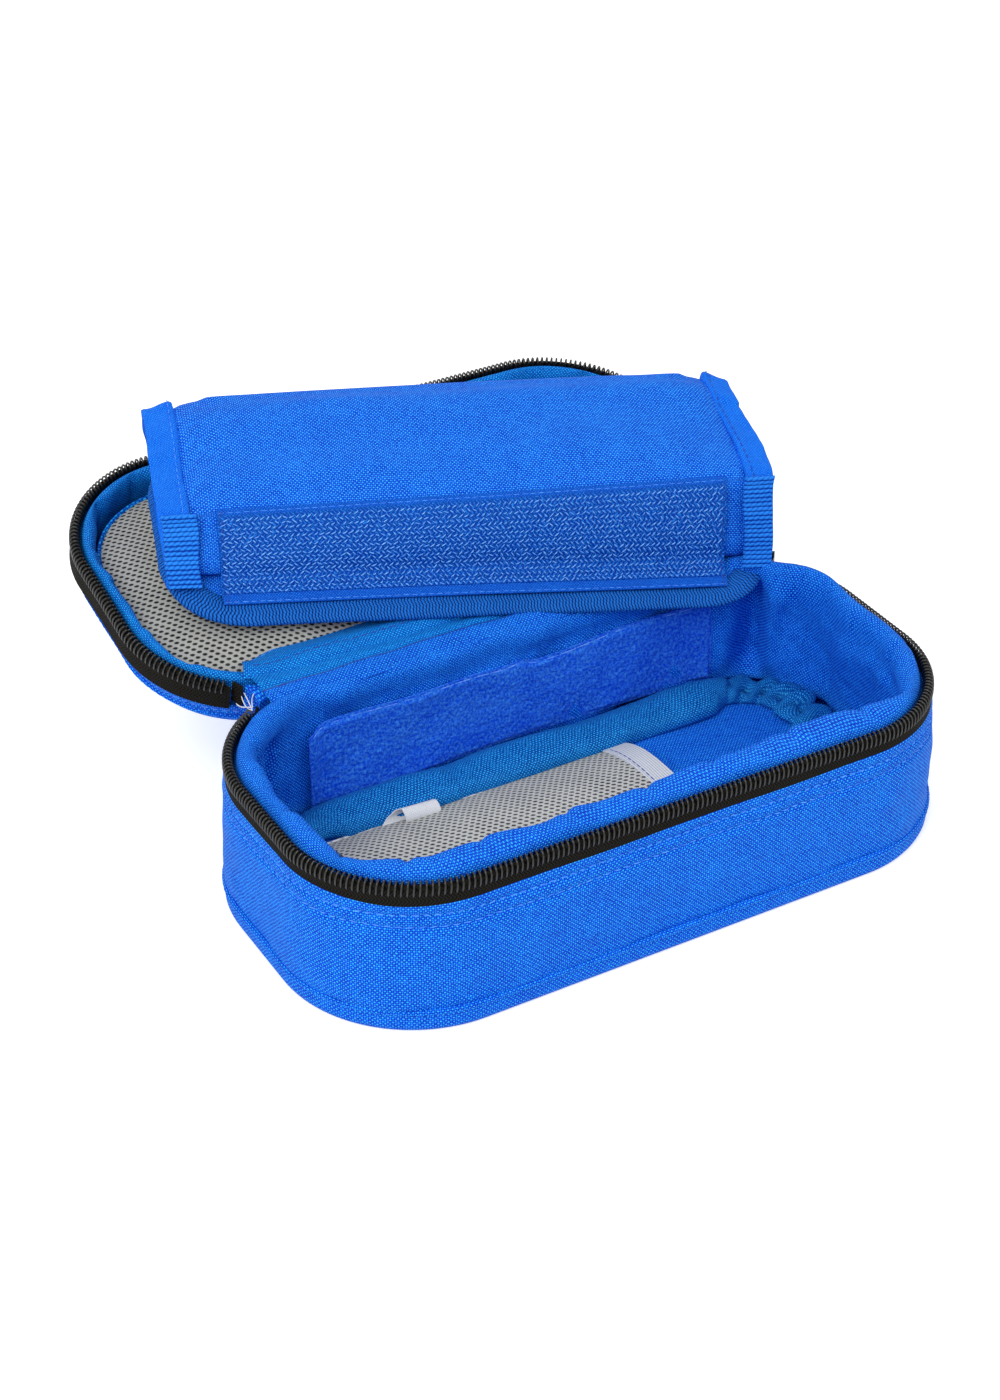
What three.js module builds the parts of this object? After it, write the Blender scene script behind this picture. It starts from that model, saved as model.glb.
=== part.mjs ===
import * as THREE from "three";

// Soft zipped cooling case for insulin: a padded base, a padded lid that opens on a fabric hinge,
// and a padded pouch with a cold pack. Millimetres, +Z up, origin under the middle of the base.

// Outline at the zipper, seen from above
const rimLength = 193;
const rimWidth = 98;
const rimCornerRadius = 36;

// Depths of the two halves, measured from the plane in which they meet
const baseDepth = 46.4;
const lidDepth = 22;
const closingGap = 1.2;
const hingeGap = 0.6;
const lidTiltDegrees = 15;

// Fabric, foam and the gap that sewn pieces keep
const seat = 0.3;
const skinThickness = 1;
const skinOffset = 1.3;
const flareShare = 0.045;
const baseFoamTop = 4;
const baseFoamFoot = 7;
const lidFoamTop = 4;
const lidFoamFoot = 4;
const baseFoamFloor = 6;
const lidFoamFloor = 2.5;
const liningThickness = 1.4;
const liningFloorThickness = 1;
const foamTopDepth = 4.4;
const panelUpturn = 5.2;
const panelRound = 0.8;
const pipingDiameter = 1.6;
const pipingProud = 0.6;

// Padded roll along the top of the lining
const rollOuterOffset = -3.6;
const rollTopDepth = 1;
const rollCut = 0.9;
const rollBulge = 0.6;
const rollFootDepth = 7.5;

// Zipper
const coilWidth = 2.4;
const coilHeight = 2.2;
const coilCut = 0.6;
const tapeHeight = 5.2;
const zipEndDegrees = 60;
const zipEndTabLength = 3;

// Slider and its pull tab
const sliderLength = 11;
const sliderPlate = 1;
const sliderInnerRoom = 0.9;
const sliderOuterRoom = 0.7;
const sliderReach = 1.9;
const sliderBridge = 0.5;
const bailWall = 0.7;
const bailWindowDepth = 2;
const bailWindowHeight = 2.8;
const bailWidth = 1.8;
const pullLength = 25;
const pullWidth = 7;
const pullThickness = 1.1;
const pullBar = 1.1;
const pullWindowLength = 3.4;
const pullWindowWidth = 3.4;
const pullTaper = 1;

// Floor of the base
const bindingWidth = 8;
const bindingHeight = 6.4;
const bindingOffset = -12;
const bindingCut = 2.2;
const loopTopDepth = 9.4;
const loopHeight = 23.6;
const loopThickness = 1.5;
const loopFromDegrees = 70;
const loopToDegrees = 100;
const sleeveEndInset = 32.5;
const sleeveLength = 85;
const sleeveSideRoom = 7;
const sleeveRise = 6;
const sleeveThickness = 0.9;
const elasticLength = 7;
const elasticThickness = 1.2;
const elasticProud = 0.3;
const labelLength = 14;
const labelHalfWidth = 3.2;
const labelRise = 4;
const labelThickness = 0.4;
const labelEndInset = 50;

// Inside of the lid
const meshDepth = 8;
const meshThickness = 0.8;
const pocketMouth = 15;
const pocketBindingWidth = 5;
const pocketBindingThickness = 1.8;
const hingeBandWidth = 12;
const hingeBandThickness = 0.9;

// Pouch: room that it leaves in the case, its slanted front and its layers
const pouchEndRoom = 14.5;
const pouchSideRoom = 22.5;
const pouchPanel = 2.5;
const pouchPanelCorner = 16;
const pouchPanelInset = 1;
const pouchPanelApron = 1.3;
const pouchBindingWidth = 3;
const pouchRise = 21;
const pouchLean = 12.5;
const pouchBackHeight = 25.7;
const pouchCover = 1.4;
const pouchInsulation = 5;
const pouchFoil = 0.5;
const endTapeWidth = 5.7;
const endTapeProud = 0.6;
const endTapeThickness = 4;
const webWidth = 10;
const webEndInset = 1;
const webThickness = 1.2;
const webFootRoom = 0.8;
const hookEndRoom = 12.5;
const hookHeight = 22.6;
const hookThickness = 1.3;
const gelEndRoom = 14;
const gelThickness = 5;
const endPanelThickness = 1.2;
const endPanelInset = 1.8;

// Where the pouch lies on the open lid
const pouchShift = 3.5;
const pouchSetback = 11.4;
const pouchLift = 2.8;
const pouchYawDegrees = -18.5;
const pouchRollDegrees = -1.4;

// Values that follow from the ones above
const fullTurn = 360;
const rightAngle = 90;
const gridDegrees = 10;
const hingeLineY = rimWidth / 2 + skinOffset + hingeGap / 2;
const coilTopDepth = closingGap / 2;
const coilFootDepth = coilTopDepth + coilHeight;
const tapeTopDepth = coilFootDepth + seat;
const tapeFootDepth = tapeTopDepth + tapeHeight;
const wallTopDepth = tapeFootDepth + seat;
const sleeveHalfWidth = rimWidth / 2 + bindingOffset - bindingWidth - sleeveSideRoom;
const pouchLength = rimLength - 2 * pouchEndRoom;
const pouchDepth = rimWidth - 2 * pouchSideRoom;
const pouchFoot = pouchPanel + seat;

// Half shape of a low arch, as shares of its half width and rise
const archShares = [[1, 0], [0.95, 0.5], [0.8, 0.82], [0.5, 0.96], [0, 1]];

const finishes = {
  oxford: { color: 0x1e64eb, roughness: 0.75, metalness: 0 },
  lining: { color: 0x1a5fe0, roughness: 0.8, metalness: 0 },
  binding: { color: 0x1487e1, roughness: 0.7, metalness: 0 },
  foam: { color: 0xe8e9ea, roughness: 0.95, metalness: 0 },
  loopPile: { color: 0x0541d7, roughness: 0.95, metalness: 0 },
  hookPile: { color: 0x2a78e0, roughness: 0.7, metalness: 0 },
  mesh: { color: 0x9da1a3, roughness: 0.85, metalness: 0 },
  elastic: { color: 0xc9cccd, roughness: 0.85, metalness: 0 },
  label: { color: 0xe9eaec, roughness: 0.6, metalness: 0 },
  zipperTape: { color: 0x101012, roughness: 0.85, metalness: 0 },
  zipperCoil: { color: 0x17171a, roughness: 0.45, metalness: 0 },
  sliderMetal: { color: 0x1b1b1e, roughness: 0.4, metalness: 0.8 },
  foil: { color: 0xc4c8cb, roughness: 0.3, metalness: 0.7 },
  gelPack: { color: 0xa9cdea, roughness: 0.35, metalness: 0 },
};

function piece(name, geometry, finish) {
  const mesh = new THREE.Mesh(geometry, new THREE.MeshStandardMaterial(finishes[finish]));
  mesh.name = name;
  return mesh;
}

// A closed body from corner points and triangles, turned so that its faces point out
function bodyFrom(points, faces) {
  const corners = points.map((p) => new THREE.Vector3(...p));
  const volume = faces.reduce((sum, [a, b, c]) => {
    const normal = new THREE.Vector3().crossVectors(corners[b], corners[c]);
    return sum + corners[a].dot(normal);
  }, 0);
  const outward = volume < 0 ? faces.map(([a, b, c]) => [a, c, b]) : faces;
  const geometry = new THREE.BufferGeometry();
  geometry.setAttribute("position", new THREE.Float32BufferAttribute(points.flat(), 3));
  geometry.setIndex(outward.flat());
  geometry.computeVertexNormals();
  return geometry;
}

function signedArea(polygon) {
  return polygon.reduce((sum, [x, y], i) => {
    const [nextX, nextY] = polygon[(i + 1) % polygon.length];
    return sum + x * nextY - nextX * y;
  }, 0);
}

// Triangles that fill a polygon, wound the same way as the polygon
function fill(polygon) {
  const contour = polygon.map(([x, y]) => new THREE.Vector2(x, y));
  const sign = Math.sign(signedArea(polygon));
  return THREE.ShapeUtils.triangulateShape(contour, []).map(([a, b, c]) => {
    const corner = signedArea([polygon[a], polygon[b], polygon[c]]);
    return Math.sign(corner) === sign ? [a, b, c] : [a, c, b];
  });
}

// A body made of equal rings of points, joined in order and capped unless they close on themselves
function ringBody(rings, closed, cap) {
  const count = rings[0].length;
  const spans = closed ? rings.length : rings.length - 1;
  const faces = [];
  for (let i = 0; i < spans; i += 1) {
    const here = i * count;
    const next = ((i + 1) % rings.length) * count;
    for (let j = 0; j < count; j += 1) {
      const k = (j + 1) % count;
      faces.push([here + j, next + j, here + k], [here + k, next + j, next + k]);
    }
  }
  if (!closed) {
    const last = (rings.length - 1) * count;
    for (const [a, b, c] of cap) {
      faces.push([a, b, c], [last + a, last + c, last + b]);
    }
  }
  return bodyFrom(rings.flat(), faces);
}

// Stations round a rounded rectangle: the centre of the corner they turn about, and the way out.
// Angles run anticlockwise from +X, and neighbouring pieces share the same grid of angles.
function stationsBetween(outline, from, to) {
  const stations = [];
  for (let start = Math.floor(from / rightAngle) * rightAngle; start < to; start += rightAngle) {
    const low = Math.max(from, start);
    const high = Math.min(to, start + rightAngle);
    const angles = [low];
    const firstGrid = Math.floor(low / gridDegrees) * gridDegrees + gridDegrees;
    for (let angle = firstGrid; angle < high; angle += gridDegrees) {
      angles.push(angle);
    }
    angles.push(high);
    const middle = THREE.MathUtils.degToRad(start + rightAngle / 2);
    const centreX = Math.sign(Math.cos(middle)) * (outline.length / 2 - outline.corner);
    const centreY = Math.sign(Math.sin(middle)) * (outline.width / 2 - outline.corner);
    for (const angle of angles) {
      const turn = THREE.MathUtils.degToRad(angle);
      const out = [Math.cos(turn), Math.sin(turn)];
      stations.push({ centreX, centreY, out, radius: outline.corner });
    }
  }
  return stations;
}

// A section point is an offset outside the outline and a height
function pointAt(station, [offset, height]) {
  const reach = station.radius + offset;
  return [station.centreX + station.out[0] * reach, station.centreY + station.out[1] * reach, height];
}

const caseOutline = { length: rimLength, width: rimWidth, corner: rimCornerRadius };

function sweep(section, from, to, outline = caseOutline) {
  const stations = stationsBetween(outline, from, to);
  const rings = stations.map((station) => section.map((point) => pointAt(station, point)));
  return ringBody(rings, to - from === fullTurn, fill(section));
}

function ring(section, outline = caseOutline) {
  return sweep(section, 0, fullTurn, outline);
}

// A plate or pan: its profile starts in the middle of its underside and ends in the middle of its top
function plate(profile, outline = caseOutline) {
  const stations = stationsBetween(outline, 0, fullTurn);
  const count = stations.length;
  const points = profile.flatMap((point) => stations.map((station) => pointAt(station, point)));
  const under = points.length;
  const over = under + 1;
  points.push([0, 0, profile[0][1]], [0, 0, profile[profile.length - 1][1]]);
  const faces = [];
  const lastRow = (profile.length - 1) * count;
  for (let i = 0; i < count; i += 1) {
    const next = (i + 1) % count;
    faces.push([under, next, i], [over, lastRow + i, lastRow + next]);
    for (let row = 0; row < lastRow; row += count) {
      faces.push([row + i, row + next, row + count + next]);
      faces.push([row + i, row + count + next, row + count + i]);
    }
  }
  return bodyFrom(points, faces);
}

// A straight bar along X whose section is given in Y and Z
function prism(section, fromX, toX) {
  const rings = [fromX, toX].map((x) => section.map(([y, z]) => [x, y, z]));
  return ringBody(rings, false, fill(section));
}

// A section of four points, or of eight where its corners are cut
function bar(inner, outer, foot, top, cut = 0) {
  if (cut === 0) {
    return [[inner, foot], [outer, foot], [outer, top], [inner, top]];
  }
  return [
    [inner + cut, foot], [outer - cut, foot], [outer, foot + cut], [outer, top - cut],
    [outer - cut, top], [inner + cut, top], [inner, top - cut], [inner, foot + cut],
  ];
}

function archSection(halfWidth, rise, thickness) {
  const outer = archShares.map(([y, z]) => [y * halfWidth, z * rise]);
  const inner = archShares.map(([y, z]) => [y * (halfWidth - thickness), z * (rise - thickness)]);
  const mirror = (half) => half.slice(0, -1).reverse().map(([y, z]) => [-y, z]);
  return [...outer, ...mirror(outer), ...[...inner, ...mirror(inner)].reverse()];
}

const degreesAlong = (length) => THREE.MathUtils.radToDeg(length / rimCornerRadius);

// Offsets of the wall's layers at a depth below the plane in which base and lid meet
const skin = (depth) => skinOffset + flareShare * depth;
const foamOuter = (depth) => skin(depth) - skinThickness - seat;

// The sizes of one half of the case
function halfSizes(depth, foamTop, foamFoot, foamFloor) {
  const upturnDepth = depth - panelUpturn;
  const pipingDepth = upturnDepth - seat - pipingDiameter / 2;
  const wallFootDepth = pipingDepth - pipingDiameter / 2 - seat;
  const floorFoamFoot = depth - skinThickness - seat;
  const floorFoamTop = floorFoamFoot - foamFloor;
  const foamFootDepth = floorFoamTop - seat;
  const floorTopDepth = foamFootDepth - liningFloorThickness;
  const foamInner = (d) => {
    const share = (d - foamTopDepth) / (foamFootDepth - foamTopDepth);
    return foamOuter(d) - foamTop - (foamFoot - foamTop) * share;
  };
  const liningOuter = (d) => foamInner(d) - seat;
  const liningInner = (d) => liningOuter(d) - liningThickness;
  return {
    depth, upturnDepth, pipingDepth, wallFootDepth, floorFoamFoot, floorFoamTop,
    foamFootDepth, floorTopDepth, foamInner, liningOuter, liningInner,
  };
}

const baseSizes = halfSizes(baseDepth, baseFoamTop, baseFoamFoot, baseFoamFloor);
const lidSizes = halfSizes(lidDepth, lidFoamTop, lidFoamFoot, lidFoamFloor);

// Outer pan with a turned-up edge, piping and outer wall
function outerPanel(size) {
  const { depth, upturnDepth } = size;
  return plate([
    [skin(depth) - panelRound, -depth],
    [skin(depth), -depth + panelRound],
    [skin(upturnDepth), -upturnDepth],
    [skin(upturnDepth) - skinThickness, -upturnDepth],
    [skin(depth) - skinThickness, -depth + skinThickness],
  ]);
}

function seamPiping(size) {
  const centre = skin(size.pipingDepth) + pipingProud - pipingDiameter / 2;
  const section = [];
  const sides = 6;
  for (let i = 0; i < sides; i += 1) {
    const angle = (i * 2 * Math.PI) / sides;
    const across = (pipingDiameter / 2) * Math.cos(angle);
    const up = (pipingDiameter / 2) * Math.sin(angle);
    section.push([centre + across, -size.pipingDepth + up]);
  }
  return ring(section);
}

function outerWall(size) {
  return ring([
    [skin(size.wallFootDepth) - skinThickness, -size.wallFootDepth],
    [skin(size.wallFootDepth), -size.wallFootDepth],
    [skin(wallTopDepth), -wallTopDepth],
    [skin(wallTopDepth) - skinThickness, -wallTopDepth],
  ]);
}

// Foam under the floor and in the wall
function floorFoam(size) {
  return plate([
    [foamOuter(size.floorFoamFoot), -size.floorFoamFoot],
    [foamOuter(size.floorFoamTop), -size.floorFoamTop],
  ]);
}

function wallFoam(size) {
  return ring([
    [size.foamInner(size.foamFootDepth), -size.foamFootDepth],
    [foamOuter(size.foamFootDepth), -size.foamFootDepth],
    [foamOuter(foamTopDepth), -foamTopDepth],
    [size.foamInner(foamTopDepth), -foamTopDepth],
  ]);
}

// Lining: a wall that ends in a padded roll, and a floor
function liningWall(size) {
  const foot = size.foamFootDepth;
  const rollFoot = foamTopDepth - seat;
  const bulge = size.liningInner(rollFoot) - rollBulge;
  return ring([
    [size.liningInner(foot), -foot],
    [size.liningOuter(foot), -foot],
    [size.liningOuter(foamTopDepth), -foamTopDepth],
    [size.liningOuter(foamTopDepth), -rollFoot],
    [rollOuterOffset, -rollFoot],
    [rollOuterOffset, -rollTopDepth - rollCut],
    [rollOuterOffset - rollCut, -rollTopDepth],
    [bulge + rollCut, -rollTopDepth],
    [bulge, -rollTopDepth - rollCut],
    [bulge, -rollFoot],
    [size.liningInner(rollFootDepth), -rollFootDepth],
  ]);
}

function liningFloor(size) {
  const offset = size.liningInner(size.foamFootDepth) - seat;
  return plate([
    [offset, -size.foamFootDepth],
    [offset, -size.floorTopDepth],
  ]);
}

// Zipper: it runs from the back left corner round the front to the back right corner
const zipFrom = 2 * rightAngle - zipEndDegrees;
const zipTo = fullTurn + zipEndDegrees;
const tabTurn = degreesAlong(zipEndTabLength);
const gapTurn = degreesAlong(seat);

function tapeSection(top, foot) {
  return [
    [skin(foot) - skinThickness, -foot],
    [skin(foot), -foot],
    [skin(top), -top],
    [skin(top) - skinThickness, -top],
  ];
}

function zipperTape() {
  return sweep(tapeSection(tapeTopDepth, tapeFootDepth), zipFrom, zipTo);
}

function zipperCoil() {
  const section = bar(skinOffset - coilWidth, skinOffset, -coilFootDepth, -coilTopDepth, coilCut);
  return sweep(section, zipFrom, zipTo);
}

// Ends of the tape, folded under beside the hinge, and the web of the fabric hinge between them
function zipEnd(side) {
  const from = zipEndDegrees + gapTurn;
  const to = from + tabTurn;
  const section = tapeSection(seat, tapeFootDepth);
  if (side === "right") return sweep(section, from, to);
  return sweep(section, 2 * rightAngle - to, 2 * rightAngle - from);
}

function hingeWeb() {
  const from = zipEndDegrees + tabTurn + 2 * gapTurn;
  return sweep(tapeSection(seat, tapeFootDepth), from, 2 * rightAngle - from);
}

// The pieces that the base and the lid have alike. The ends are named from the one on the left.
function caseHalf(prefix, panelName, size, ends) {
  const half = new THREE.Group();
  half.add(
    piece(panelName, outerPanel(size), "oxford"),
    piece(`${prefix}_seam_piping`, seamPiping(size), "oxford"),
    piece(`${prefix}_outer_wall`, outerWall(size), "oxford"),
    piece(`${prefix}_floor_foam`, floorFoam(size), "foam"),
    piece(`${prefix}_wall_foam`, wallFoam(size), "foam"),
    piece(`${prefix}_lining_wall`, liningWall(size), "lining"),
    piece(`${prefix}_lining_floor`, liningFloor(size), "lining"),
    piece(`${prefix}_zipper_tape`, zipperTape(), "zipperTape"),
    piece(`${prefix}_zipper_coil`, zipperCoil(), "zipperCoil"),
    piece(`${prefix}_hinge_web`, hingeWeb(), "oxford"),
  );
  const [first, second] = ends;
  half.add(
    piece(`${prefix}_zip_end_${first}`, zipEnd("left"), "zipperTape"),
    piece(`${prefix}_zip_end_${second}`, zipEnd("right"), "zipperTape"),
  );
  return half;
}

// What is sewn inside the base
function floorBinding() {
  const foot = -baseSizes.floorTopDepth + seat;
  return ring(bar(bindingOffset - bindingWidth, bindingOffset, foot, foot + bindingHeight, bindingCut));
}

function loopStrip() {
  const foot = loopTopDepth + loopHeight;
  const face = (depth, layer) => [baseSizes.liningInner(depth) - seat - layer, -depth];
  const section = [
    face(foot, loopThickness), face(foot, 0),
    face(loopTopDepth, 0), face(loopTopDepth, loopThickness),
  ];
  return sweep(section, loopFromDegrees, loopToDegrees);
}

function addBaseFittings(base) {
  const floor = -baseSizes.floorTopDepth + seat;
  const sleeveFrom = sleeveEndInset - rimLength / 2;
  const sleeveTo = sleeveFrom + sleeveLength;
  const sleeve = archSection(sleeveHalfWidth, sleeveRise, sleeveThickness);
  const elastic = archSection(sleeveHalfWidth + elasticProud, sleeveRise + elasticProud, elasticThickness);
  const label = archSection(labelHalfWidth, labelRise, labelThickness);
  const labelFrom = labelEndInset - rimLength / 2;
  const fittings = [
    piece("pen_sleeve_mesh", prism(sleeve, sleeveFrom, sleeveTo), "mesh"),
    piece("pen_sleeve_elastic", prism(elastic, sleeveTo + seat, sleeveTo + seat + elasticLength), "elastic"),
    piece("care_label", prism(label, labelFrom, labelFrom + labelLength), "label"),
  ];
  for (const fitting of fittings) {
    fitting.position.z = floor;
  }
  fittings[2].position.y = rimWidth / 2 + bindingOffset - bindingWidth - seat - labelHalfWidth;
  base.add(piece("base_floor_binding", floorBinding(), "binding"));
  base.add(piece("loop_strip", loopStrip(), "loopPile"), ...fittings);
}

// What is sewn inside the lid: a mesh pocket with its mouth away from the hinge, and a band
function addLidFittings(lid) {
  const edge = lidSizes.liningInner(meshDepth) - seat;
  const outline = { ...caseOutline, width: rimWidth - pocketMouth };
  const mesh = plate([[edge, -meshDepth - meshThickness], [edge, -meshDepth]], outline);
  const pocket = piece("lid_mesh_pocket", mesh, "mesh");
  pocket.position.y = -pocketMouth / 2;
  const straight = rimLength / 2 - rimCornerRadius;
  const mouthFrom = rimWidth / 2 - pocketMouth + edge + seat;
  const bindingFoot = -meshDepth - (meshThickness + pocketBindingThickness) / 2;
  const mouthEdge = bar(
    mouthFrom, mouthFrom + pocketBindingWidth, bindingFoot, bindingFoot + pocketBindingThickness,
  );
  const bandFrom = -rimWidth / 2 - edge;
  const bandFoot = -meshDepth + seat;
  const band = bar(bandFrom, bandFrom + hingeBandWidth, bandFoot, bandFoot + hingeBandThickness);
  lid.add(
    pocket,
    piece("lid_pocket_binding", prism(mouthEdge, -straight, straight), "binding"),
    piece("lid_hinge_band", prism(band, -straight, straight), "binding"),
  );
}

// Pouch: the lines of its slanted front, its top and its back, in Y and Z, each with its way out
function lineThrough([y0, z0], [y1, z1]) {
  const length = Math.hypot(y1 - y0, z1 - z0);
  const out = [-(z1 - z0) / length, (y1 - y0) / length];
  return { out, reach: out[0] * y0 + out[1] * z0 };
}

function crossing(a, b) {
  const det = a.out[0] * b.out[1] - a.out[1] * b.out[0];
  const y = (a.reach * b.out[1] - b.reach * a.out[1]) / det;
  const z = (a.out[0] * b.reach - b.out[0] * a.reach) / det;
  return [y, z];
}

const pouchFold = [pouchLean, pouchFoot + pouchRise];
const pouchFront = lineThrough([0, pouchFoot], pouchFold);
const pouchTop = lineThrough(pouchFold, [pouchDepth, pouchBackHeight]);
const pouchBack = { out: [1, 0], reach: pouchDepth };
const pouchBase = { out: [0, -1], reach: -pouchFoot };

// The pouch's profile a distance inside its outer faces
function pouchProfile(inside) {
  const [front, top, back] = [pouchFront, pouchTop, pouchBack].map((line) => {
    return { out: line.out, reach: line.reach - inside };
  });
  return [crossing(pouchBase, front), crossing(front, top), crossing(top, back), crossing(back, pouchBase)];
}

function pouchLayer(inside, thickness) {
  return [...pouchProfile(inside), ...pouchProfile(inside + thickness).reverse()];
}

// A flat strip on the slanted front
function onFront(foot, height, off, thickness) {
  const slope = Math.hypot(pouchLean, pouchRise);
  const along = [pouchLean / slope, pouchRise / slope];
  const place = (s, out) => [
    along[0] * s + pouchFront.out[0] * out,
    pouchFoot + along[1] * s + pouchFront.out[1] * out,
  ];
  return [
    place(foot, off), place(foot + height, off),
    place(foot + height, off + thickness), place(foot, off + thickness),
  ];
}

// The cold pack lies flat on the pouch's base panel
function gelSection(inside) {
  const [frontFoot, , , backFoot] = pouchProfile(inside);
  const front = { out: pouchFront.out, reach: pouchFront.reach - inside };
  const level = { out: [0, 1], reach: pouchFoot + gelThickness };
  return [frontFoot, crossing(front, level), [backFoot[0], level.reach], backFoot];
}

function pouchPanelPieces() {
  const inset = pouchPanelInset + pouchBindingWidth + seat;
  const outline = {
    length: pouchLength - 2 * inset,
    width: pouchDepth + 2 * (pouchPanelApron - pouchPanelInset),
    corner: pouchPanelCorner,
  };
  const panel = piece("pouch_base_panel", plate([[0, 0], [0, pouchPanel]], outline), "oxford");
  const edge = bar(seat, seat + pouchBindingWidth, 0, pouchPanel, pouchCover / 2);
  const binding = piece("pouch_panel_binding", ring(edge, outline), "binding");
  panel.position.y = pouchDepth / 2;
  binding.position.y = pouchDepth / 2;
  return [panel, binding];
}

function makePouch() {
  const pouch = new THREE.Group();
  const half = pouchLength / 2;
  const coverHalf = half - endTapeWidth - seat;
  const layer = (name, inside, thickness, finish) => {
    return piece(name, prism(pouchLayer(inside, thickness), -coverHalf, coverHalf), finish);
  };
  const insulationInside = pouchCover + seat;
  const foilInside = insulationInside + pouchInsulation + seat;
  const gelInside = foilInside + pouchFoil + seat;
  const gelHalf = coverHalf - gelEndRoom;
  const slope = Math.hypot(pouchLean, pouchRise);
  const hookFoot = (slope - hookHeight) / 2;
  const hook = onFront(hookFoot, hookHeight, seat, hookThickness);
  const hookHalf = half - hookEndRoom;
  pouch.add(
    ...pouchPanelPieces(),
    layer("pouch_cover", 0, pouchCover, "oxford"),
    layer("pouch_insulation", insulationInside, pouchInsulation, "foam"),
    layer("pouch_foil_lining", foilInside, pouchFoil, "foil"),
    piece("gel_pack", prism(gelSection(gelInside), -gelHalf, gelHalf), "gelPack"),
    piece("hook_strip", prism(hook, -hookHalf, hookHalf), "hookPile"),
  );
  const tape = pouchLayer(-endTapeProud, endTapeThickness);
  const end = pouchProfile(endTapeThickness - endTapeProud + seat);
  const web = onFront(webFootRoom, slope - 2 * webFootRoom, endTapeProud + seat, webThickness);
  for (const [side, sign] of [["left", -1], ["right", 1]]) {
    const outer = sign * half;
    const webOuter = sign * (half - webEndInset);
    const endOuter = sign * (half - endPanelInset);
    pouch.add(
      piece(`pouch_end_tape_${side}`, prism(tape, outer - sign * endTapeWidth, outer), "binding"),
      piece(`pouch_end_panel_${side}`, prism(end, endOuter - sign * endPanelThickness, endOuter), "oxford"),
      piece(`pouch_web_${side}`, prism(web, webOuter - sign * webWidth, webOuter), "binding"),
    );
  }
  pouch.position.set(pouchShift, pouchSetback, pouchLift);
  const roll = THREE.MathUtils.degToRad(pouchRollDegrees);
  const yaw = THREE.MathUtils.degToRad(pouchYawDegrees);
  pouch.rotation.set(0, roll, yaw, "ZYX");
  return pouch;
}

// Slider: two plates that clasp the coils, joined by a bridge between them
const coilInner = skinOffset - coilWidth;
const sliderInner = coilInner - sliderInnerRoom;
const sliderOuter = skinOffset + sliderOuterRoom;
const sliderTurn = degreesAlong(sliderLength);
const sliderDegrees = zipEndDegrees - gapTurn - sliderTurn / 2;

function sliderBody() {
  const reach = sliderReach;
  const web = sliderBridge / 2;
  const section = [
    [sliderInner - sliderPlate, -reach], [sliderInner, -reach], [sliderInner, -web],
    [sliderOuter, -web], [sliderOuter, -reach], [sliderOuter + sliderPlate, -reach],
    [sliderOuter + sliderPlate, reach], [sliderOuter, reach], [sliderOuter, web],
    [sliderInner, web], [sliderInner, reach], [sliderInner - sliderPlate, reach],
  ];
  return sweep(section, sliderDegrees - sliderTurn / 2, sliderDegrees + sliderTurn / 2);
}

// The bail and the pull tab are drawn flat, with Y out of the case, and turned to their place
function sliderBail() {
  const from = sliderOuter + sliderPlate + seat;
  const to = from + bailWindowDepth + 2 * bailWall;
  const outerHeight = bailWindowHeight / 2 + bailWall;
  const shape = new THREE.Shape();
  shape.moveTo(from, -outerHeight).lineTo(to, -outerHeight).lineTo(to, outerHeight).lineTo(from, outerHeight);
  shape.closePath();
  const window = new THREE.Path();
  const [near, far, high] = [from + bailWall, to - bailWall, bailWindowHeight / 2];
  window.moveTo(near, -high).lineTo(near, high).lineTo(far, high).lineTo(far, -high);
  window.closePath();
  shape.holes.push(window);
  const bail = new THREE.ExtrudeGeometry(shape, { depth: bailWidth, bevelEnabled: false });
  bail.translate(0, 0, -bailWidth / 2);
  return bail.rotateX(Math.PI / 2);
}

function pullTab() {
  const top = pullBar / 2;
  const shape = new THREE.Shape();
  shape.moveTo(-pullWidth / 2, top).lineTo(-pullWidth / 2, pullTaper - pullLength);
  shape.lineTo(pullTaper - pullWidth / 2, -pullLength).lineTo(pullWidth / 2 - pullTaper, -pullLength);
  shape.lineTo(pullWidth / 2, pullTaper - pullLength).lineTo(pullWidth / 2, top);
  shape.closePath();
  const window = new THREE.Path();
  const [side, high, low] = [pullWindowWidth / 2, -pullBar / 2, -pullBar / 2 - pullWindowLength];
  window.moveTo(-side, high).lineTo(side, high).lineTo(side, low).lineTo(-side, low);
  window.closePath();
  shape.holes.push(window);
  const tab = new THREE.ExtrudeGeometry(shape, { depth: pullThickness, bevelEnabled: false });
  tab.translate(0, 0, -pullThickness / 2);
  return tab.rotateX(Math.PI / 2).rotateZ(Math.PI / 2);
}

function makeSlider() {
  const slider = new THREE.Group();
  const mount = new THREE.Group();
  const bail = piece("slider_bail", sliderBail(), "sliderMetal");
  const tab = piece("pull_tab", pullTab(), "sliderMetal");
  tab.position.x = sliderOuter + sliderPlate + seat + bailWall + bailWindowDepth / 2;
  mount.add(bail, tab);
  for (const held of [bail, tab]) {
    held.position.x += rimCornerRadius;
  }
  mount.position.set(rimLength / 2 - rimCornerRadius, rimWidth / 2 - rimCornerRadius, 0);
  mount.rotation.z = THREE.MathUtils.degToRad(sliderDegrees);
  slider.add(piece("slider_body", sliderBody(), "sliderMetal"), mount);
  return slider;
}

const base = caseHalf("base", "base_bottom_panel", baseSizes, ["left", "right"]);
addBaseFittings(base);
base.add(makeSlider());
base.position.z = baseDepth;

// The lid's shell is turned round, so that its hinge web lies beside the base's
const lidShell = caseHalf("lid", "lid_top_panel", lidSizes, ["right", "left"]);
lidShell.rotation.z = Math.PI;

const lidTray = new THREE.Group();
lidTray.add(lidShell);
addLidFittings(lidTray);
lidTray.position.y = hingeLineY;

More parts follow.
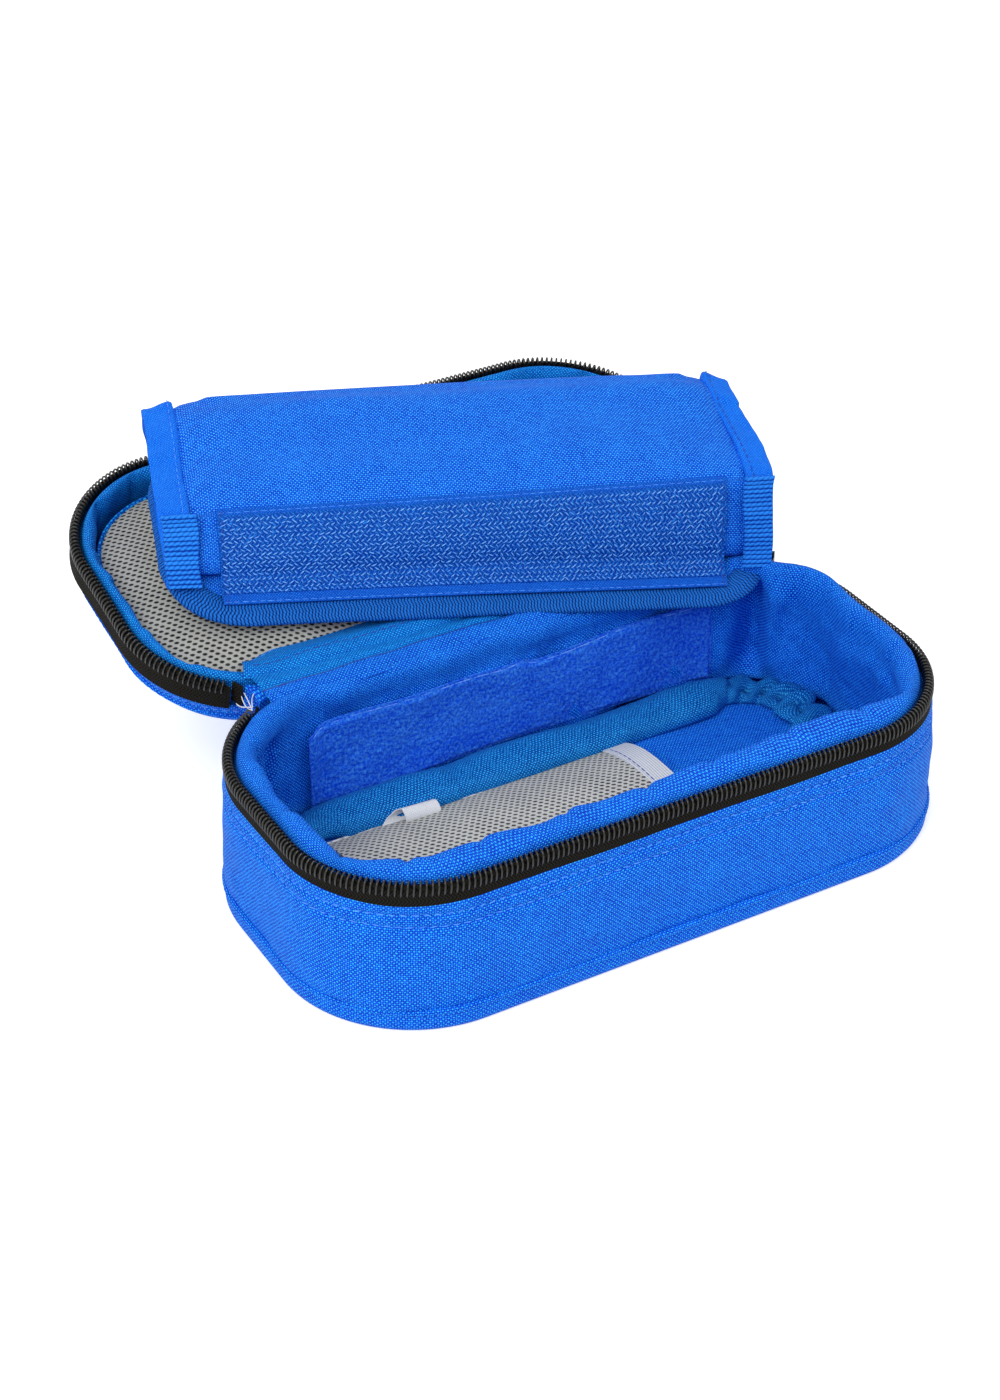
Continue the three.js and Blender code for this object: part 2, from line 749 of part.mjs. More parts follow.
const lid = new THREE.Group();
lid.add(lidTray, makePouch());
lid.position.set(0, hingeLineY, baseDepth);
lid.rotation.x = THREE.MathUtils.degToRad(lidTiltDegrees);

const group = new THREE.Group();
group.add(base, lid);

export default group;
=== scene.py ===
import math

import bmesh
import bpy
import numpy as np
from mathutils import Euler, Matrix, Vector
from mathutils.bvhtree import BVHTree


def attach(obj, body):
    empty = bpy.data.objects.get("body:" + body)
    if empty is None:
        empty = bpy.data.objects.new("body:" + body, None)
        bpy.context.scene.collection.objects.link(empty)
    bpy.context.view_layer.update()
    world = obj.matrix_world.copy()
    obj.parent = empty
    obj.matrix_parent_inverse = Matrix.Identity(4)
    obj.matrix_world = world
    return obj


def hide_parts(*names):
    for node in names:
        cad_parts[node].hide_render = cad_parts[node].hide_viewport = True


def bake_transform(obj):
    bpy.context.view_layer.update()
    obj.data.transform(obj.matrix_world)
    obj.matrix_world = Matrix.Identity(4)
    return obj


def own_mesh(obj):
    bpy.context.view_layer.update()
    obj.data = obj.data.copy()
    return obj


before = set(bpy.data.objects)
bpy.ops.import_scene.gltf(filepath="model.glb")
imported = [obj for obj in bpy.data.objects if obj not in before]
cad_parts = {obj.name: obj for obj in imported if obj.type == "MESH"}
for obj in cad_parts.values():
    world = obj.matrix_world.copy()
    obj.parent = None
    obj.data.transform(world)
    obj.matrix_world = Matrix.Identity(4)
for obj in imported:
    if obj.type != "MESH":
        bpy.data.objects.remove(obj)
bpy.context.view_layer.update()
mm = 0.001
print("frame loaded")


# node sums: a Wire is a socket, and sums with it become Math nodes
class Wire:
    def __init__(self, socket):
        self.socket, self.tree = socket, socket.id_data

    def __add__(self, other):
        return mathOf("ADD", self, other)

    def __sub__(self, other):
        return mathOf("SUBTRACT", self, other)

    def __rsub__(self, other):
        return mathOf("SUBTRACT", other, self)

    def __mul__(self, other):
        return mathOf("MULTIPLY", self, other)

    def __truediv__(self, other):
        return mathOf("DIVIDE", self, other)

    def __pow__(self, other):
        return mathOf("POWER", self, other)


def feed(target, value):
    if isinstance(value, Wire):
        value.tree.links.new(value.socket, target)
    else:
        target.default_value = value


def nodeOf(tree, kind, output, inputs, **options):
    node = tree.nodes.new("ShaderNode" + kind)
    for label, value in options.items():
        setattr(node, label, value)
    for label, value in inputs.items():
        feed(node.inputs[label], value)
    return Wire(node.outputs[output])


def mathOf(operation, *values):
    tree = next(v.tree for v in values if isinstance(v, Wire))
    return nodeOf(tree, "Math", 0, dict(enumerate(values)), operation=operation)


def noiseOf(vector, scale, detail=3.0, rough=0.55):
    inputs = {"Vector": vector, "Scale": scale, "Detail": detail, "Roughness": rough}
    return nodeOf(vector.tree, "TexNoise", "Fac", inputs)


def axesOf(vector):
    node = vector.tree.nodes.new("ShaderNodeSeparateXYZ")
    feed(node.inputs[0], vector)
    return Wire(node.outputs[0]), Wire(node.outputs[1])


def wave(value, pitch=1.0):  # 0 at every whole pitch, 1 half way between
    return mathOf("ABSOLUTE", mathOf("SINE", value * (math.pi / pitch)))


# the photograph's view, the light and the floor
viewSettings = {
    "place": (-0.32998, -0.52237, 0.45984), "yaw": 0.526, "pitch": 0.588, "lens": 70.62, "sensor": 36,
    "clip": (0.01, 20), "lampAim": (0, 0.05, 0.04), "worldStrength": 0.6,
    "floorHalf": 3.0, "floorColor": (0.93, 0.93, 0.935, 1), "floorRough": 0.9, "floorGlow": 0.42,
    "lamps": {  # place, size, power
        "key": ((-0.8, -0.5, 0.95), 0.9, 9.6), "fill": ((0.9, -0.5, 0.8), 0.9, 3.2),
        "back": ((0.1, 1.1, 0.9), 0.8, 3.0),
    },
}


def newObject(name, data):
    thing = bpy.data.objects.new(name, data)
    bpy.context.scene.collection.objects.link(thing)
    return thing


def startMaterial(name):
    material = bpy.data.materials.new(name)
    material.use_nodes = True
    return material, material.node_tree, material.node_tree.nodes["Principled BSDF"].inputs


def seenMask(tree):  # 1 where the camera, a reflection or glass looks at it
    path = tree.nodes.new("ShaderNodeLightPath")
    camera, glossy, glass = [Wire(path.outputs[f"Is {ray} Ray"]) for ray in ("Camera", "Glossy", "Transmission")]
    return mathOf("MAXIMUM", mathOf("MAXIMUM", camera, glossy), glass)


def makeCamera(settings):
    data = bpy.data.cameras.new("photoCamera")
    camera = newObject("photoCamera", data)
    camera.location = settings["place"]
    camera.rotation_euler = (math.pi / 2 - settings["pitch"], 0, -settings["yaw"])
    data.lens, data.sensor_width = settings["lens"], settings["sensor"]
    data.clip_start, data.clip_end = settings["clip"]
    bpy.context.scene.camera = camera


def makeWorld(settings):
    world = bpy.data.worlds.new("softRoom")
    world.use_nodes = True
    back = world.node_tree.nodes["Background"].inputs
    back["Color"].default_value = (1, 1, 1, 1)
    strength = {"Value": seenMask(world.node_tree), "To Min": settings["worldStrength"], "To Max": 1.0}
    feed(back["Strength"], nodeOf(world.node_tree, "MapRange", "Result", strength))
    bpy.context.scene.world = world
    bpy.context.scene.view_settings.view_transform = "Standard"


def makeFloor(settings):
    mesh = bpy.data.meshes.new("paleFloor")
    r = settings["floorHalf"]
    mesh.from_pydata([(-r, -r, 0), (r, -r, 0), (r, r, 0), (-r, r, 0)], [], [(0, 1, 2, 3)])
    floor = newObject("paleFloor", mesh)
    material, tree, shader = startMaterial("paleFloor")
    shader["Base Color"].default_value = settings["floorColor"]
    shader["Roughness"].default_value = settings["floorRough"]
    shader["Emission Color"].default_value = (1, 1, 1, 1)
    feed(shader["Emission Strength"], seenMask(tree) * settings["floorGlow"])
    mesh.materials.append(material)


def makeLamps(settings):
    for name, (place, size, power) in settings["lamps"].items():
        data = bpy.data.lights.new(name + "Lamp", "AREA")
        data.shape, data.size, data.energy = "DISK", size, power
        lamp = newObject(name + "Lamp", data)
        lamp.location = place
        lamp.rotation_euler = (Vector(settings["lampAim"]) - Vector(place)).to_track_quat("-Z", "Y").to_euler()


makeCamera(viewSettings)
makeWorld(viewSettings)
makeFloor(viewSettings)
makeLamps(viewSettings)
print("camera, light and floor")


# node groups: what each puts out is its height, its slow unevenness and how its threads differ
def weave(cloth, pitch):  # humps of warp and weft that pass over each other
    shift = (noiseOf(cloth, 0.35, 2.0) - 0.5) * 0.7
    u, v = [(axis + shift) / pitch for axis in axesOf(cloth)]
    su, sv = [mathOf("SINE", axis * math.pi) for axis in (u, v)]
    over = mathOf("GREATER_THAN", su * sv, 0.0)
    au, av = mathOf("ABSOLUTE", su), mathOf("ABSOLUTE", sv)
    height = au ** 0.55 * av * over + av ** 0.55 * au * (1.0 - over) * 0.5
    cell = nodeOf(cloth.tree, "CombineXYZ", 0, {0: mathOf("FLOOR", u), 1: mathOf("FLOOR", v)})
    thread = nodeOf(cloth.tree, "TexWhiteNoise", "Value", {"Vector": cell}, noise_dimensions="2D")
    return height, noiseOf(cloth, 0.09), thread


def rib(cloth, pitch, slant):  # webbing and binding: ribs across, with a fine twist in each
    u, v = axesOf(cloth)
    u = u + mathOf("PINGPONG", v, 2.0) * slant + noiseOf(cloth, 0.4, 2.0) * 0.4
    twist = mathOf("ABSOLUTE", mathOf("SINE", (v / pitch + u / pitch) * 2.6))
    height = wave(u / pitch) ** 0.6 * mathOf("MULTIPLY_ADD", twist, 0.45, 0.55)
    return height, noiseOf(cloth, 0.09), noiseOf(cloth, 1.7, 1.0)


def chevron(cloth, pitch):  # herringbone of the zipper tape
    u, v = axesOf(cloth)
    return wave((u + mathOf("PINGPONG", v, 1.7) * 0.9) / pitch), noiseOf(cloth, 0.1, 2.0), noiseOf(cloth, 2.0, 2.0)


def pile(cloth, hook):  # brushed loops, or rows of small hooks where Hook is 1
    u, v = axesOf(cloth)
    row = v / 1.15
    side = mathOf("MODULO", mathOf("FLOOR", row), 2.0) * 2.0 - 1.0
    across = u + mathOf("FRACT", row) * side * 0.8 + noiseOf(cloth, 0.55, 2.0) * 2.2
    gate = mathOf("GREATER_THAN", noiseOf(cloth, 3.2, 2.0, 0.6), 0.46)
    hooks = wave(across, 1.25) ** 5.0 * mathOf("MULTIPLY_ADD", gate, 0.75, 0.25)
    loops = noiseOf(cloth, 1.1, 4.0, 0.75) ** 2.2
    return nodeOf(cloth.tree, "Mix", "Result", {"Factor": hook, "A": loops, "B": hooks}), noiseOf(cloth, 0.12)


def spacer(cloth, pitchU, pitchV, slant):  # knitted mesh: slanted holes in staggered rows
    u, v = axesOf(cloth)
    row = v / pitchV
    column = u / pitchU + mathOf("MODULO", mathOf("FLOOR", row), 2.0) * 0.5
    y = mathOf("FRACT", row) - 0.5
    x = mathOf("FRACT", column + y * slant) - 0.5
    far = mathOf("SQRT", x * x * 1.5 + y * y * 1.15) + (noiseOf(cloth, 1.4, 2.0) - 0.5) * 0.16
    strand = nodeOf(cloth.tree, "MapRange", "Result", {"Value": far, "From Min": 0.24, "From Max": 0.42},
                    interpolation_type="SMOOTHSTEP")
    knit = mathOf("ABSOLUTE", mathOf("SINE", (u + v) * 7.0))
    return strand * mathOf("MULTIPLY_ADD", knit, 0.25, 0.75), noiseOf(cloth, 0.1)


def fabricGroup(name, build, inputs, outputs):
    tree = bpy.data.node_groups.new(name, "ShaderNodeTree")
    tree.interface.new_socket(name="Cloth", in_out="INPUT", socket_type="NodeSocketVector")
    for label, value in inputs.items():
        socket = tree.interface.new_socket(name=label, in_out="INPUT", socket_type="NodeSocketFloat")
        socket.default_value = value
    for label in outputs:
        tree.interface.new_socket(name=label, in_out="OUTPUT", socket_type="NodeSocketFloat")
    start, end = tree.nodes.new("NodeGroupInput"), tree.nodes.new("NodeGroupOutput")
    results = build(*[Wire(start.outputs[label]) for label in ("Cloth", *inputs)])
    for label, result in zip(outputs, results):
        feed(end.inputs[label], result)
    return tree


threadOutputs, plainOutputs = ("Height", "Slub", "Thread"), ("Height", "Slub")
groups = {
    "weave": fabricGroup("plainWeave", weave, {"Pitch": 0.6}, threadOutputs),
    "rib": fabricGroup("ribbedTape", rib, {"Pitch": 1.0, "Slant": 0.0}, threadOutputs),
    "chevron": fabricGroup("chevronTape", chevron, {"Pitch": 0.9}, threadOutputs),
    "pile": fabricGroup("fastenerPile", pile, {"Hook": 0.0}, plainOutputs),
    "mesh": fabricGroup("spacerMesh", spacer, {"PitchU": 1.9, "PitchV": 1.3, "Slant": 0.35}, plainOutputs),
}


def rgb(r, g, b):  # screen values 0-255 to the linear ones that a shader takes
    return tuple(((c / 255 + 0.055) / 1.055) ** 2.4 if c > 10 else c / 255 / 12.92 for c in (r, g, b)) + (1,)


def rampOf(value, *stops):  # stops are (place, colour), in order
    node = value.tree.nodes.new("ShaderNodeValToRGB")
    elements = node.color_ramp.elements
    for element, (place, color) in zip(elements, (stops[0], stops[-1])):
        element.position, element.color = place, rgb(*color)
    for place, color in stops[1:-1]:
        elements.new(place).color = rgb(*color)
    feed(node.inputs["Fac"], value)
    return Wire(node.outputs["Color"])


def finishShader(shader, height, bump, strength, values):
    bumped = {"Distance": bump * mm, "Strength": strength, "Height": height}
    values["Normal"] = nodeOf(height.tree, "Bump", "Normal", bumped)
    for label, value in values.items():
        feed(shader[label], value)


# how height makes tone: gain, lift, and how far single threads differ
toneSettings = {"weave": (1.25, 0.0, 0.24), "rib": (1.25, 0.0, 0.2), "chevron": (1.25, 0.0, 0.2),
                "pile": (1.5, 0.28, 0.0), "mesh": (0.85, 0.05, 0.0)}
clothFinishes = {
    # name: slot, group, group values, dark / middle / light colour, bump mm, roughness, sheen, sheen tint
    "oxfordBlue": ("oxford_fabric", "weave", {"Pitch": 0.62}, (0, 30, 164), (0, 98, 250), (58, 194, 255),
                   0.2, 0.62, 0.03, (120, 130, 255)),
    "pouchBlue": ("oxford_fabric", "weave", {"Pitch": 0.52}, (0, 34, 164), (0, 98, 242), (70, 186, 255),
                  0.13, 0.66, 0.05, (130, 100, 255)),
    "liningBlue": ("lining_fabric", "weave", {"Pitch": 0.56}, (0, 26, 150), (0, 96, 246), (60, 188, 255),
                   0.16, 0.66, 0.03, (90, 120, 255)),
    "liningCyan": ("lining_fabric", "weave", {"Pitch": 0.52}, (0, 46, 140), (0, 104, 214), (44, 190, 255),
                   0.1, 0.7, 0.03, (100, 180, 255)),
    # a darker copy of liningCyan for the gathered binding: the darkening is painted shade of its ruched folds
    "ruchedCyanPaintedShade": ("lining_fabric", "weave", {"Pitch": 0.52}, (0, 34, 106), (0, 102, 196), (60, 190, 255),
                   0.13, 0.7, 0.03, (100, 180, 255)),
    "bindingCyan": ("binding_tape", "rib", {"Pitch": 0.8, "Slant": 0.12}, (2, 66, 150), (8, 106, 200),
                    (48, 150, 240), 0.12, 0.68, 0.04, (110, 180, 255)),
    "tapeBlue": ("binding_tape", "weave", {"Pitch": 0.42}, (0, 70, 196), (4, 110, 238), (48, 152, 255),
                 0.06, 0.68, 0.04, (110, 160, 255)),
    # a darker copy of tapeBlue: painted shade for the hook tape's bare lower flap, which lies in shadow
    "tapeBluePaintedShade": ("binding_tape", "weave", {"Pitch": 0.42}, (0, 48, 150), (2, 84, 200), (36, 130, 240),
                  0.06, 0.68, 0.02, (110, 160, 255)),
    # the pad binding's own dark blue, darkened further as painted shade for the shadow of the pouch and hook strip over
    # it
    "padBindingPaintedShade": ("binding_tape", "rib", {"Pitch": 0.95, "Slant": 0.25}, (0, 10, 50), (0, 44, 122),
                   (30, 116, 214), 0.3, 0.7, 0.02, (110, 160, 255)),
    "webbingBlue": ("binding_tape", "rib", {"Pitch": 1.35, "Slant": 0.0}, (0, 26, 108), (0, 74, 188),
                    (40, 138, 244), 0.3, 0.66, 0.03, (110, 160, 255)),
    "loopPile": ("loop_pile", "pile", {"Hook": 0.0}, (0, 20, 124), (0, 74, 222), (84, 176, 255),
                 0.5, 0.9, 0.06, (90, 130, 255)),
    "hookPile": ("hook_pile", "pile", {"Hook": 1.0}, (0, 34, 128), (0, 76, 186), (40, 136, 240),
                 0.3, 0.6, 0.02, (150, 200, 255)),
    "meshGrey": ("mesh", "mesh", {"PitchU": 2.1, "PitchV": 1.45}, (8, 10, 14), (128, 129, 127),
                 (204, 204, 197), 0.5, 0.75, 0.02, (255, 255, 255)),
    "netGrey": ("mesh", "mesh", {"PitchU": 2.0, "PitchV": 1.4}, (46, 50, 54), (168, 170, 166),
                (220, 220, 212), 0.4, 0.75, 0.02, (255, 255, 255)),
    "elasticGrey": ("elastic", "rib", {"Pitch": 0.8, "Slant": 0.0}, (140, 146, 154), (188, 193, 200),
                    (222, 226, 230), 0.1, 0.8, 0.05, (255, 255, 255)),
    "labelWhite": ("label", "weave", {"Pitch": 0.4}, (196, 199, 204), (222, 225, 228), (238, 240, 242),
                   0.03, 0.5, 0.05, (255, 255, 255)),
    "tapeBlack": ("zipper_tape", "chevron", {"Pitch": 0.98}, (1, 1, 1), (3, 3, 3), (30, 28, 22),
                  0.22, 0.85, 0.0, (255, 255, 255)),
}
solidFinishes = {
    # name: slot, dark / light colour, roughness, metal, coat, grains to the metre
    "coilBlack": ("zipper_coil", (1, 1, 1), (7, 7, 6), 0.32, 0.0, 0.1, 260),
    "sliderMetal": ("slider_metal", (16, 16, 17), (40, 40, 42), 0.36, 0.85, 0.0, 260),
    "threadBlue": ("binding_tape", (22, 104, 238), (84, 172, 255), 0.6, 0.0, 0.0, 900),
    "threadLight": ("binding_tape", (70, 130, 245), (150, 195, 255), 0.55, 0.0, 0.0, 900),
    "threadDark": ("binding_tape", (6, 40, 130), (12, 66, 170), 0.6, 0.0, 0.0, 900),
    "threadWhite": ("binding_tape", (190, 192, 196), (236, 237, 240), 0.6, 0.0, 0.0, 900),
    "hookLight": ("hook_pile", (30, 116, 226), (124, 190, 252), 0.5, 0.0, 0.0, 700),
    "foilFilm": ("foil_film", (150, 153, 156), (214, 217, 220), 0.28, 0.8, 0.0, 90),
    "gelFilm": ("gel_pack", (130, 180, 220), (178, 212, 238), 0.3, 0.0, 0.3, 60),
}


def clothMaterial(name):
    _, kind, values, dark, middle, light, bump, rough, sheen, tint = clothFinishes[name]
    material, tree, shader = startMaterial(name)
    group = tree.nodes.new("ShaderNodeGroup")
    group.node_tree = groups[kind]
    for label, value in {"Cloth": nodeOf(tree, "UVMap", "UV", {}, uv_map="cloth"), **values}.items():
        feed(group.inputs[label], value)
    height, slub = Wire(group.outputs["Height"]), Wire(group.outputs["Slub"])
    gain, lift, spread = toneSettings[kind]
    tone = mathOf("MULTIPLY_ADD", height, gain, lift)
    if spread:
        tone = tone + (Wire(group.outputs["Thread"]) - 0.5) * spread
    tone = tone + (slub - 0.5) * 0.22
    finishShader(shader, height, bump, 0.9, {
        "Base Color": rampOf(tone, (0.0, dark), (0.5, middle), (1.0, light)),
        "Roughness": mathOf("MULTIPLY_ADD", slub, 0.16, rough - 0.08),
        "Sheen Weight": sheen, "Sheen Roughness": 0.45, "Sheen Tint": rgb(*tint), "Specular IOR Level": 0.1,
    })
    return material


def solidMaterial(name):
    _, dark, light, rough, metal, coat, scale = solidFinishes[name]
    material, tree, shader = startMaterial(name)
    grain = noiseOf(nodeOf(tree, "TexCoord", "Object", {}), scale, 4.0)
    finishShader(shader, grain, 0.02, 1.0, {
        "Base Color": rampOf(grain, (0.3, dark), (0.72, light)),
        "Roughness": mathOf("MULTIPLY_ADD", grain, 0.2, rough - 0.1), "Metallic": metal, "Coat Weight": coat,
    })
    return material


materials = {name: clothMaterial(name) for name in clothFinishes}
materials.update({name: solidMaterial(name) for name in solidFinishes})
print("materials")


# measures of the case in millimetres, as the frame has them
case = {
    "halfX": 60.5, "halfY": 13.0, "corner": 36.0, "baseDepth": 46.4, "lidDepth": 22.0, "hingeY": 50.6,
    "lidTilt": 15.0, "lidSag": 2.2, "skin": 1.3, "flare": 0.045, "zipFrom": 196.4, "zipTo": 557.9, "zipTurn": 260.1,
}


def ease(x, low, high):
    t = np.clip((np.asarray(x, float) - low) / (high - low), 0, 1)
    return t * t * (3 - 2 * t)


def between(x, low, rise, fall, high):  # eases in from low to rise and out again from fall to high
    return ease(x, low, rise) * ease(x, high, fall)


def hump(x, width):
    return np.exp(-((x / width) ** 2))


def unit(v):
    return v / np.maximum(np.linalg.norm(v, axis=-1, keepdims=True), 1e-9)


def spots(x, y, z):
    return np.stack(np.broadcast_arrays(x, y, z), -1)


def oblongEnds(halfX, halfY, corner):  # where the arcs and straight sides of a rounded oblong end
    return np.cumsum([0.0] + [corner * math.pi / 2, 2 * halfX, corner * math.pi / 2, 2 * halfY] * 2)


def oblong(s, offset, halfX, halfY, corner):  # s runs anticlockwise from the right end of the back right corner
    ends = oblongEnds(halfX, halfY, corner)
    s, offset = np.broadcast_arrays(np.mod(s, ends[-1]), np.asarray(offset, float))
    k = np.clip(np.searchsorted(ends, s, side="right") - 1, 0, 7)
    t, q = s - ends[k], k // 2
    curved = k % 2 == 0
    angle = (q + np.where(curved, t / ends[1], 1.0)) * math.pi / 2
    slide, reach = np.where(curved, 0.0, t), corner + offset
    cx, cy = halfX * np.array([1, -1, -1, 1])[q], halfY * np.array([1, 1, -1, -1])[q]
    return cx + np.cos(angle) * reach - np.sin(angle) * slide, cy + np.sin(angle) * reach + np.cos(angle) * slide


rimRun = oblongEnds(case["halfX"], case["halfY"], case["corner"])[-1]


def rim(s, offset):
    return oblong(s, offset, case["halfX"], case["halfY"], case["corner"])


def beside(s, offset, depth):  # points by the rim: how far out, and how deep
    return spots(*rim(s, offset), -np.asarray(depth, float))


def around(s, middle, width):  # a hump that knows that the rim closes on itself
    return hump(np.mod(s - middle + rimRun / 2, rimRun) - rimRun / 2, width)


def skin(depth):
    return case["skin"] + case["flare"] * depth


def onBase(p):
    return p + np.array([0, 0, case["baseDepth"]])


def onLid(p, sag=case["lidSag"]):  # the soft lid hangs a little towards its far edge
    a = math.radians(case["lidTilt"])
    y = p[..., 1] + case["hingeY"]
    z = p[..., 2] - sag * ease(y, 40, 100)
    return spots(p[..., 0], case["hingeY"] + y * math.cos(a) - z * math.sin(a),
                 case["baseDepth"] + y * math.sin(a) + z * math.cos(a))


pouchPlace = {
    "turn": (0, -1.4, -18.5), "at": (3.5, 11.4, 2.8), "half": 82, "left": 8.2, "right": 3.0, "spread": 1.8,
    "rearIn": 4.0, "leftLow": -1.7, "leftFoot": 2.0, "rightHigh": 2.0, "rightFoot": -3.0,
}
pouchTurn = np.array(Euler([math.radians(a) for a in pouchPlace["turn"]], "XYZ").to_matrix())


def onPouch(p, lean=pouchPlace):  # the filled pouch spreads and sags at its ends
    p = np.asarray(p, float).copy()
    x, y, z = p[..., 0], p[..., 1], p[..., 2]
    high, rear = ease(z, 2, 24), ease(y, 14, 54)
    left, right = np.clip(-x / lean["half"], 0, None), np.clip(x / lean["half"], 0, None)
    p[..., 0] = (x - left * lean["left"] + right * lean["right"] - lean["spread"] * high * ease(-x, 62, 80)
                 - lean["rearIn"] * right * rear * high)
    p[..., 2] = (z + left * (lean["leftLow"] * high + lean["leftFoot"] * (1 - high))
                 + right * (lean["rightHigh"] * high * (1 - rear) + lean["rightFoot"] * (1 - high)))
    return onLid(p @ pouchTurn.T + np.array(lean["at"]) - np.array([0, case["hingeY"], 0]), 0.0)


def endSag(p):  # the pouch's bound ends hang lower at the back than its filled middle
    p = p.copy()
    weight = ease(p[..., 1], 18, 57) * ease(p[..., 2], 4, 20)
    outward, right = ease(np.abs(p[..., 0]), 74, 82), p[..., 0] > 0
    p[..., 2] += (0.4 - np.where(right, 1.6, 1.2) * outward) * weight
    p[..., 1] -= np.where(right, 0.6 + 2.0 * outward, 1.6 + 1.6 * outward) * weight
    return p


def crumple(p, size, seed, count=14):  # smooth irregular dents, the same on every run
    dice = np.random.default_rng(seed)
    total = np.zeros(p.shape[:-1])
    for _ in range(count):
        way = dice.normal(size=3)
        way /= np.linalg.norm(way)
        pull = 2 * math.pi / (size * dice.uniform(0.7, 1.6))
        total += np.sin(p @ way * pull + dice.uniform(0, 2 * math.pi))
    return total / math.sqrt(count / 2)


# mesh builders: each piece gets a UV layer in millimetres of cloth
def runOf(path):
    return np.concatenate([[0], np.cumsum(np.linalg.norm(np.diff(path, axis=0), axis=1))])


def pick(at, path):
    run = runOf(path)
    return np.stack([np.interp(at, run, column) for column in path.T], 1)


def resample(path, count):
    path = np.asarray(path, float)
    return pick(np.linspace(0, runOf(path)[-1], count), path)


def roundLoop(corners, radius, spacing):  # a polygon with rounded corners, evenly stepped
    corners = np.asarray(corners, float)
    radii = np.broadcast_to(radius, len(corners))
    path = []
    for k, here in enumerate(corners):
        a, b = corners[k - 1] - here, corners[(k + 1) % len(corners)] - here
        la, lb = np.linalg.norm(a), np.linalg.norm(b)
        cut = min(radii[k], la * 0.45, lb * 0.45)
        p, q = here + a / la * cut, here + b / lb * cut
        path += [(1 - t) ** 2 * p + 2 * t * (1 - t) * here + t * t * q for t in np.linspace(0, 1, 7)]
    path = np.array(path + [path[0]])
    length = runOf(path)[-1]
    return pick(np.linspace(0, length, max(8, int(length / spacing) // 2 * 2), endpoint=False), path)


def extrude(x, line):
    return spots(x[:, None], line[:, 0], line[:, 1])


def ringsOf(x, y, shares, middle=0.0):  # an outline shrunk towards its middle
    return x * shares[:, None], middle + (y - middle) * shares[:, None]


def plate(x, y, top, low):  # out over the upper side, then in over the lower one
    return np.concatenate([spots(x, y, top), spots(x, y, low)[::-1]], 0)


def cumulative(p, axis):
    step = np.linalg.norm(np.diff(p, axis=axis, append=np.take(p, [0], axis=axis)), axis=2)
    return np.concatenate([[0.0], np.cumsum(step.mean(axis=1 - axis))])


def finishMesh(name, vertices, faces, corners, material, body, replaced=(), sharp=50):
    mesh = bpy.data.meshes.new(name)
    mesh.from_pydata([tuple(v) for v in (np.asarray(vertices) * mm)], [], [tuple(int(i) for i in f) for f in faces])
    mesh.uv_layers.new(name="cloth").data.foreach_set("uv", np.asarray(corners, np.float32).ravel())
    work = bmesh.new()
    work.from_mesh(mesh)
    bmesh.ops.recalc_face_normals(work, faces=work.faces)
    work.to_mesh(mesh)
    work.free()
    mesh.shade_smooth()
    mesh.set_sharp_from_angle(angle=math.radians(sharp))
    mesh.materials.append(materials[material])
    piece = newObject(name, mesh)
    if body:
        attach(piece, body)
    if replaced:
        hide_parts(*replaced)
    return piece


def gridPiece(name, points, material, body, replaced=(), ring=False, sharp=50, uvs=None):
    # points (nu, nv, 3): each row is a closed loop; the rows close to a ring, or the first and last are capped
    nu, nv = points.shape[:2]
    i, j = [g.ravel() for g in np.meshgrid(np.arange(nu if ring else nu - 1), np.arange(nv), indexing="ij")]
    ni, nj = (i + 1) % nu, (j + 1) % nv
    faces = np.stack([i * nv + j, ni * nv + j, ni * nv + nj, i * nv + nj], 1).tolist()
    u, v = cumulative(points, 0), cumulative(points, 1)
    if uvs is None:
        corners = [np.stack([u[a], v[b]], -1) for a, b in ((i, j), (i + 1, j), (i + 1, j + 1), (i, j + 1))]
    else:
        corners = [uvs[a, b] for a, b in ((i, j), (ni, j), (ni, nj), (i, nj))]
    corners = np.stack(corners, 1).reshape(-1, 2).tolist()
    for row in () if ring else (0, nu - 1):
        for k in range((nv - 1) // 2):
            cap = list(dict.fromkeys([k, k + 1, nv - 2 - k, nv - 1 - k]))
            faces.append([row * nv + r for r in cap])
            corners += [[u[row] + 0.3 * (r > nv // 2), v[r if r <= nv // 2 else nv - 1 - r]] for r in cap]
    return finishMesh(name, points.reshape(-1, 3), faces, corners, material, body, replaced, sharp)


def sheetPiece(name, points, thick, material, body, replaced=()):  # cloth of one thickness, with blunt edges
    half = thick / 2 * unit(np.cross(np.gradient(points, axis=0), np.gradient(points, axis=1)))
    first = points[:, :1] + unit(points[:, :1] - points[:, 1:2]) * thick * 0.2
    last = points[:, -1:] + unit(points[:, -1:] - points[:, -2:-1]) * thick * 0.2
    loop = np.concatenate([points + half, last, (points - half)[:, ::-1], first], 1)
    return gridPiece(name, loop, material, body, replaced)


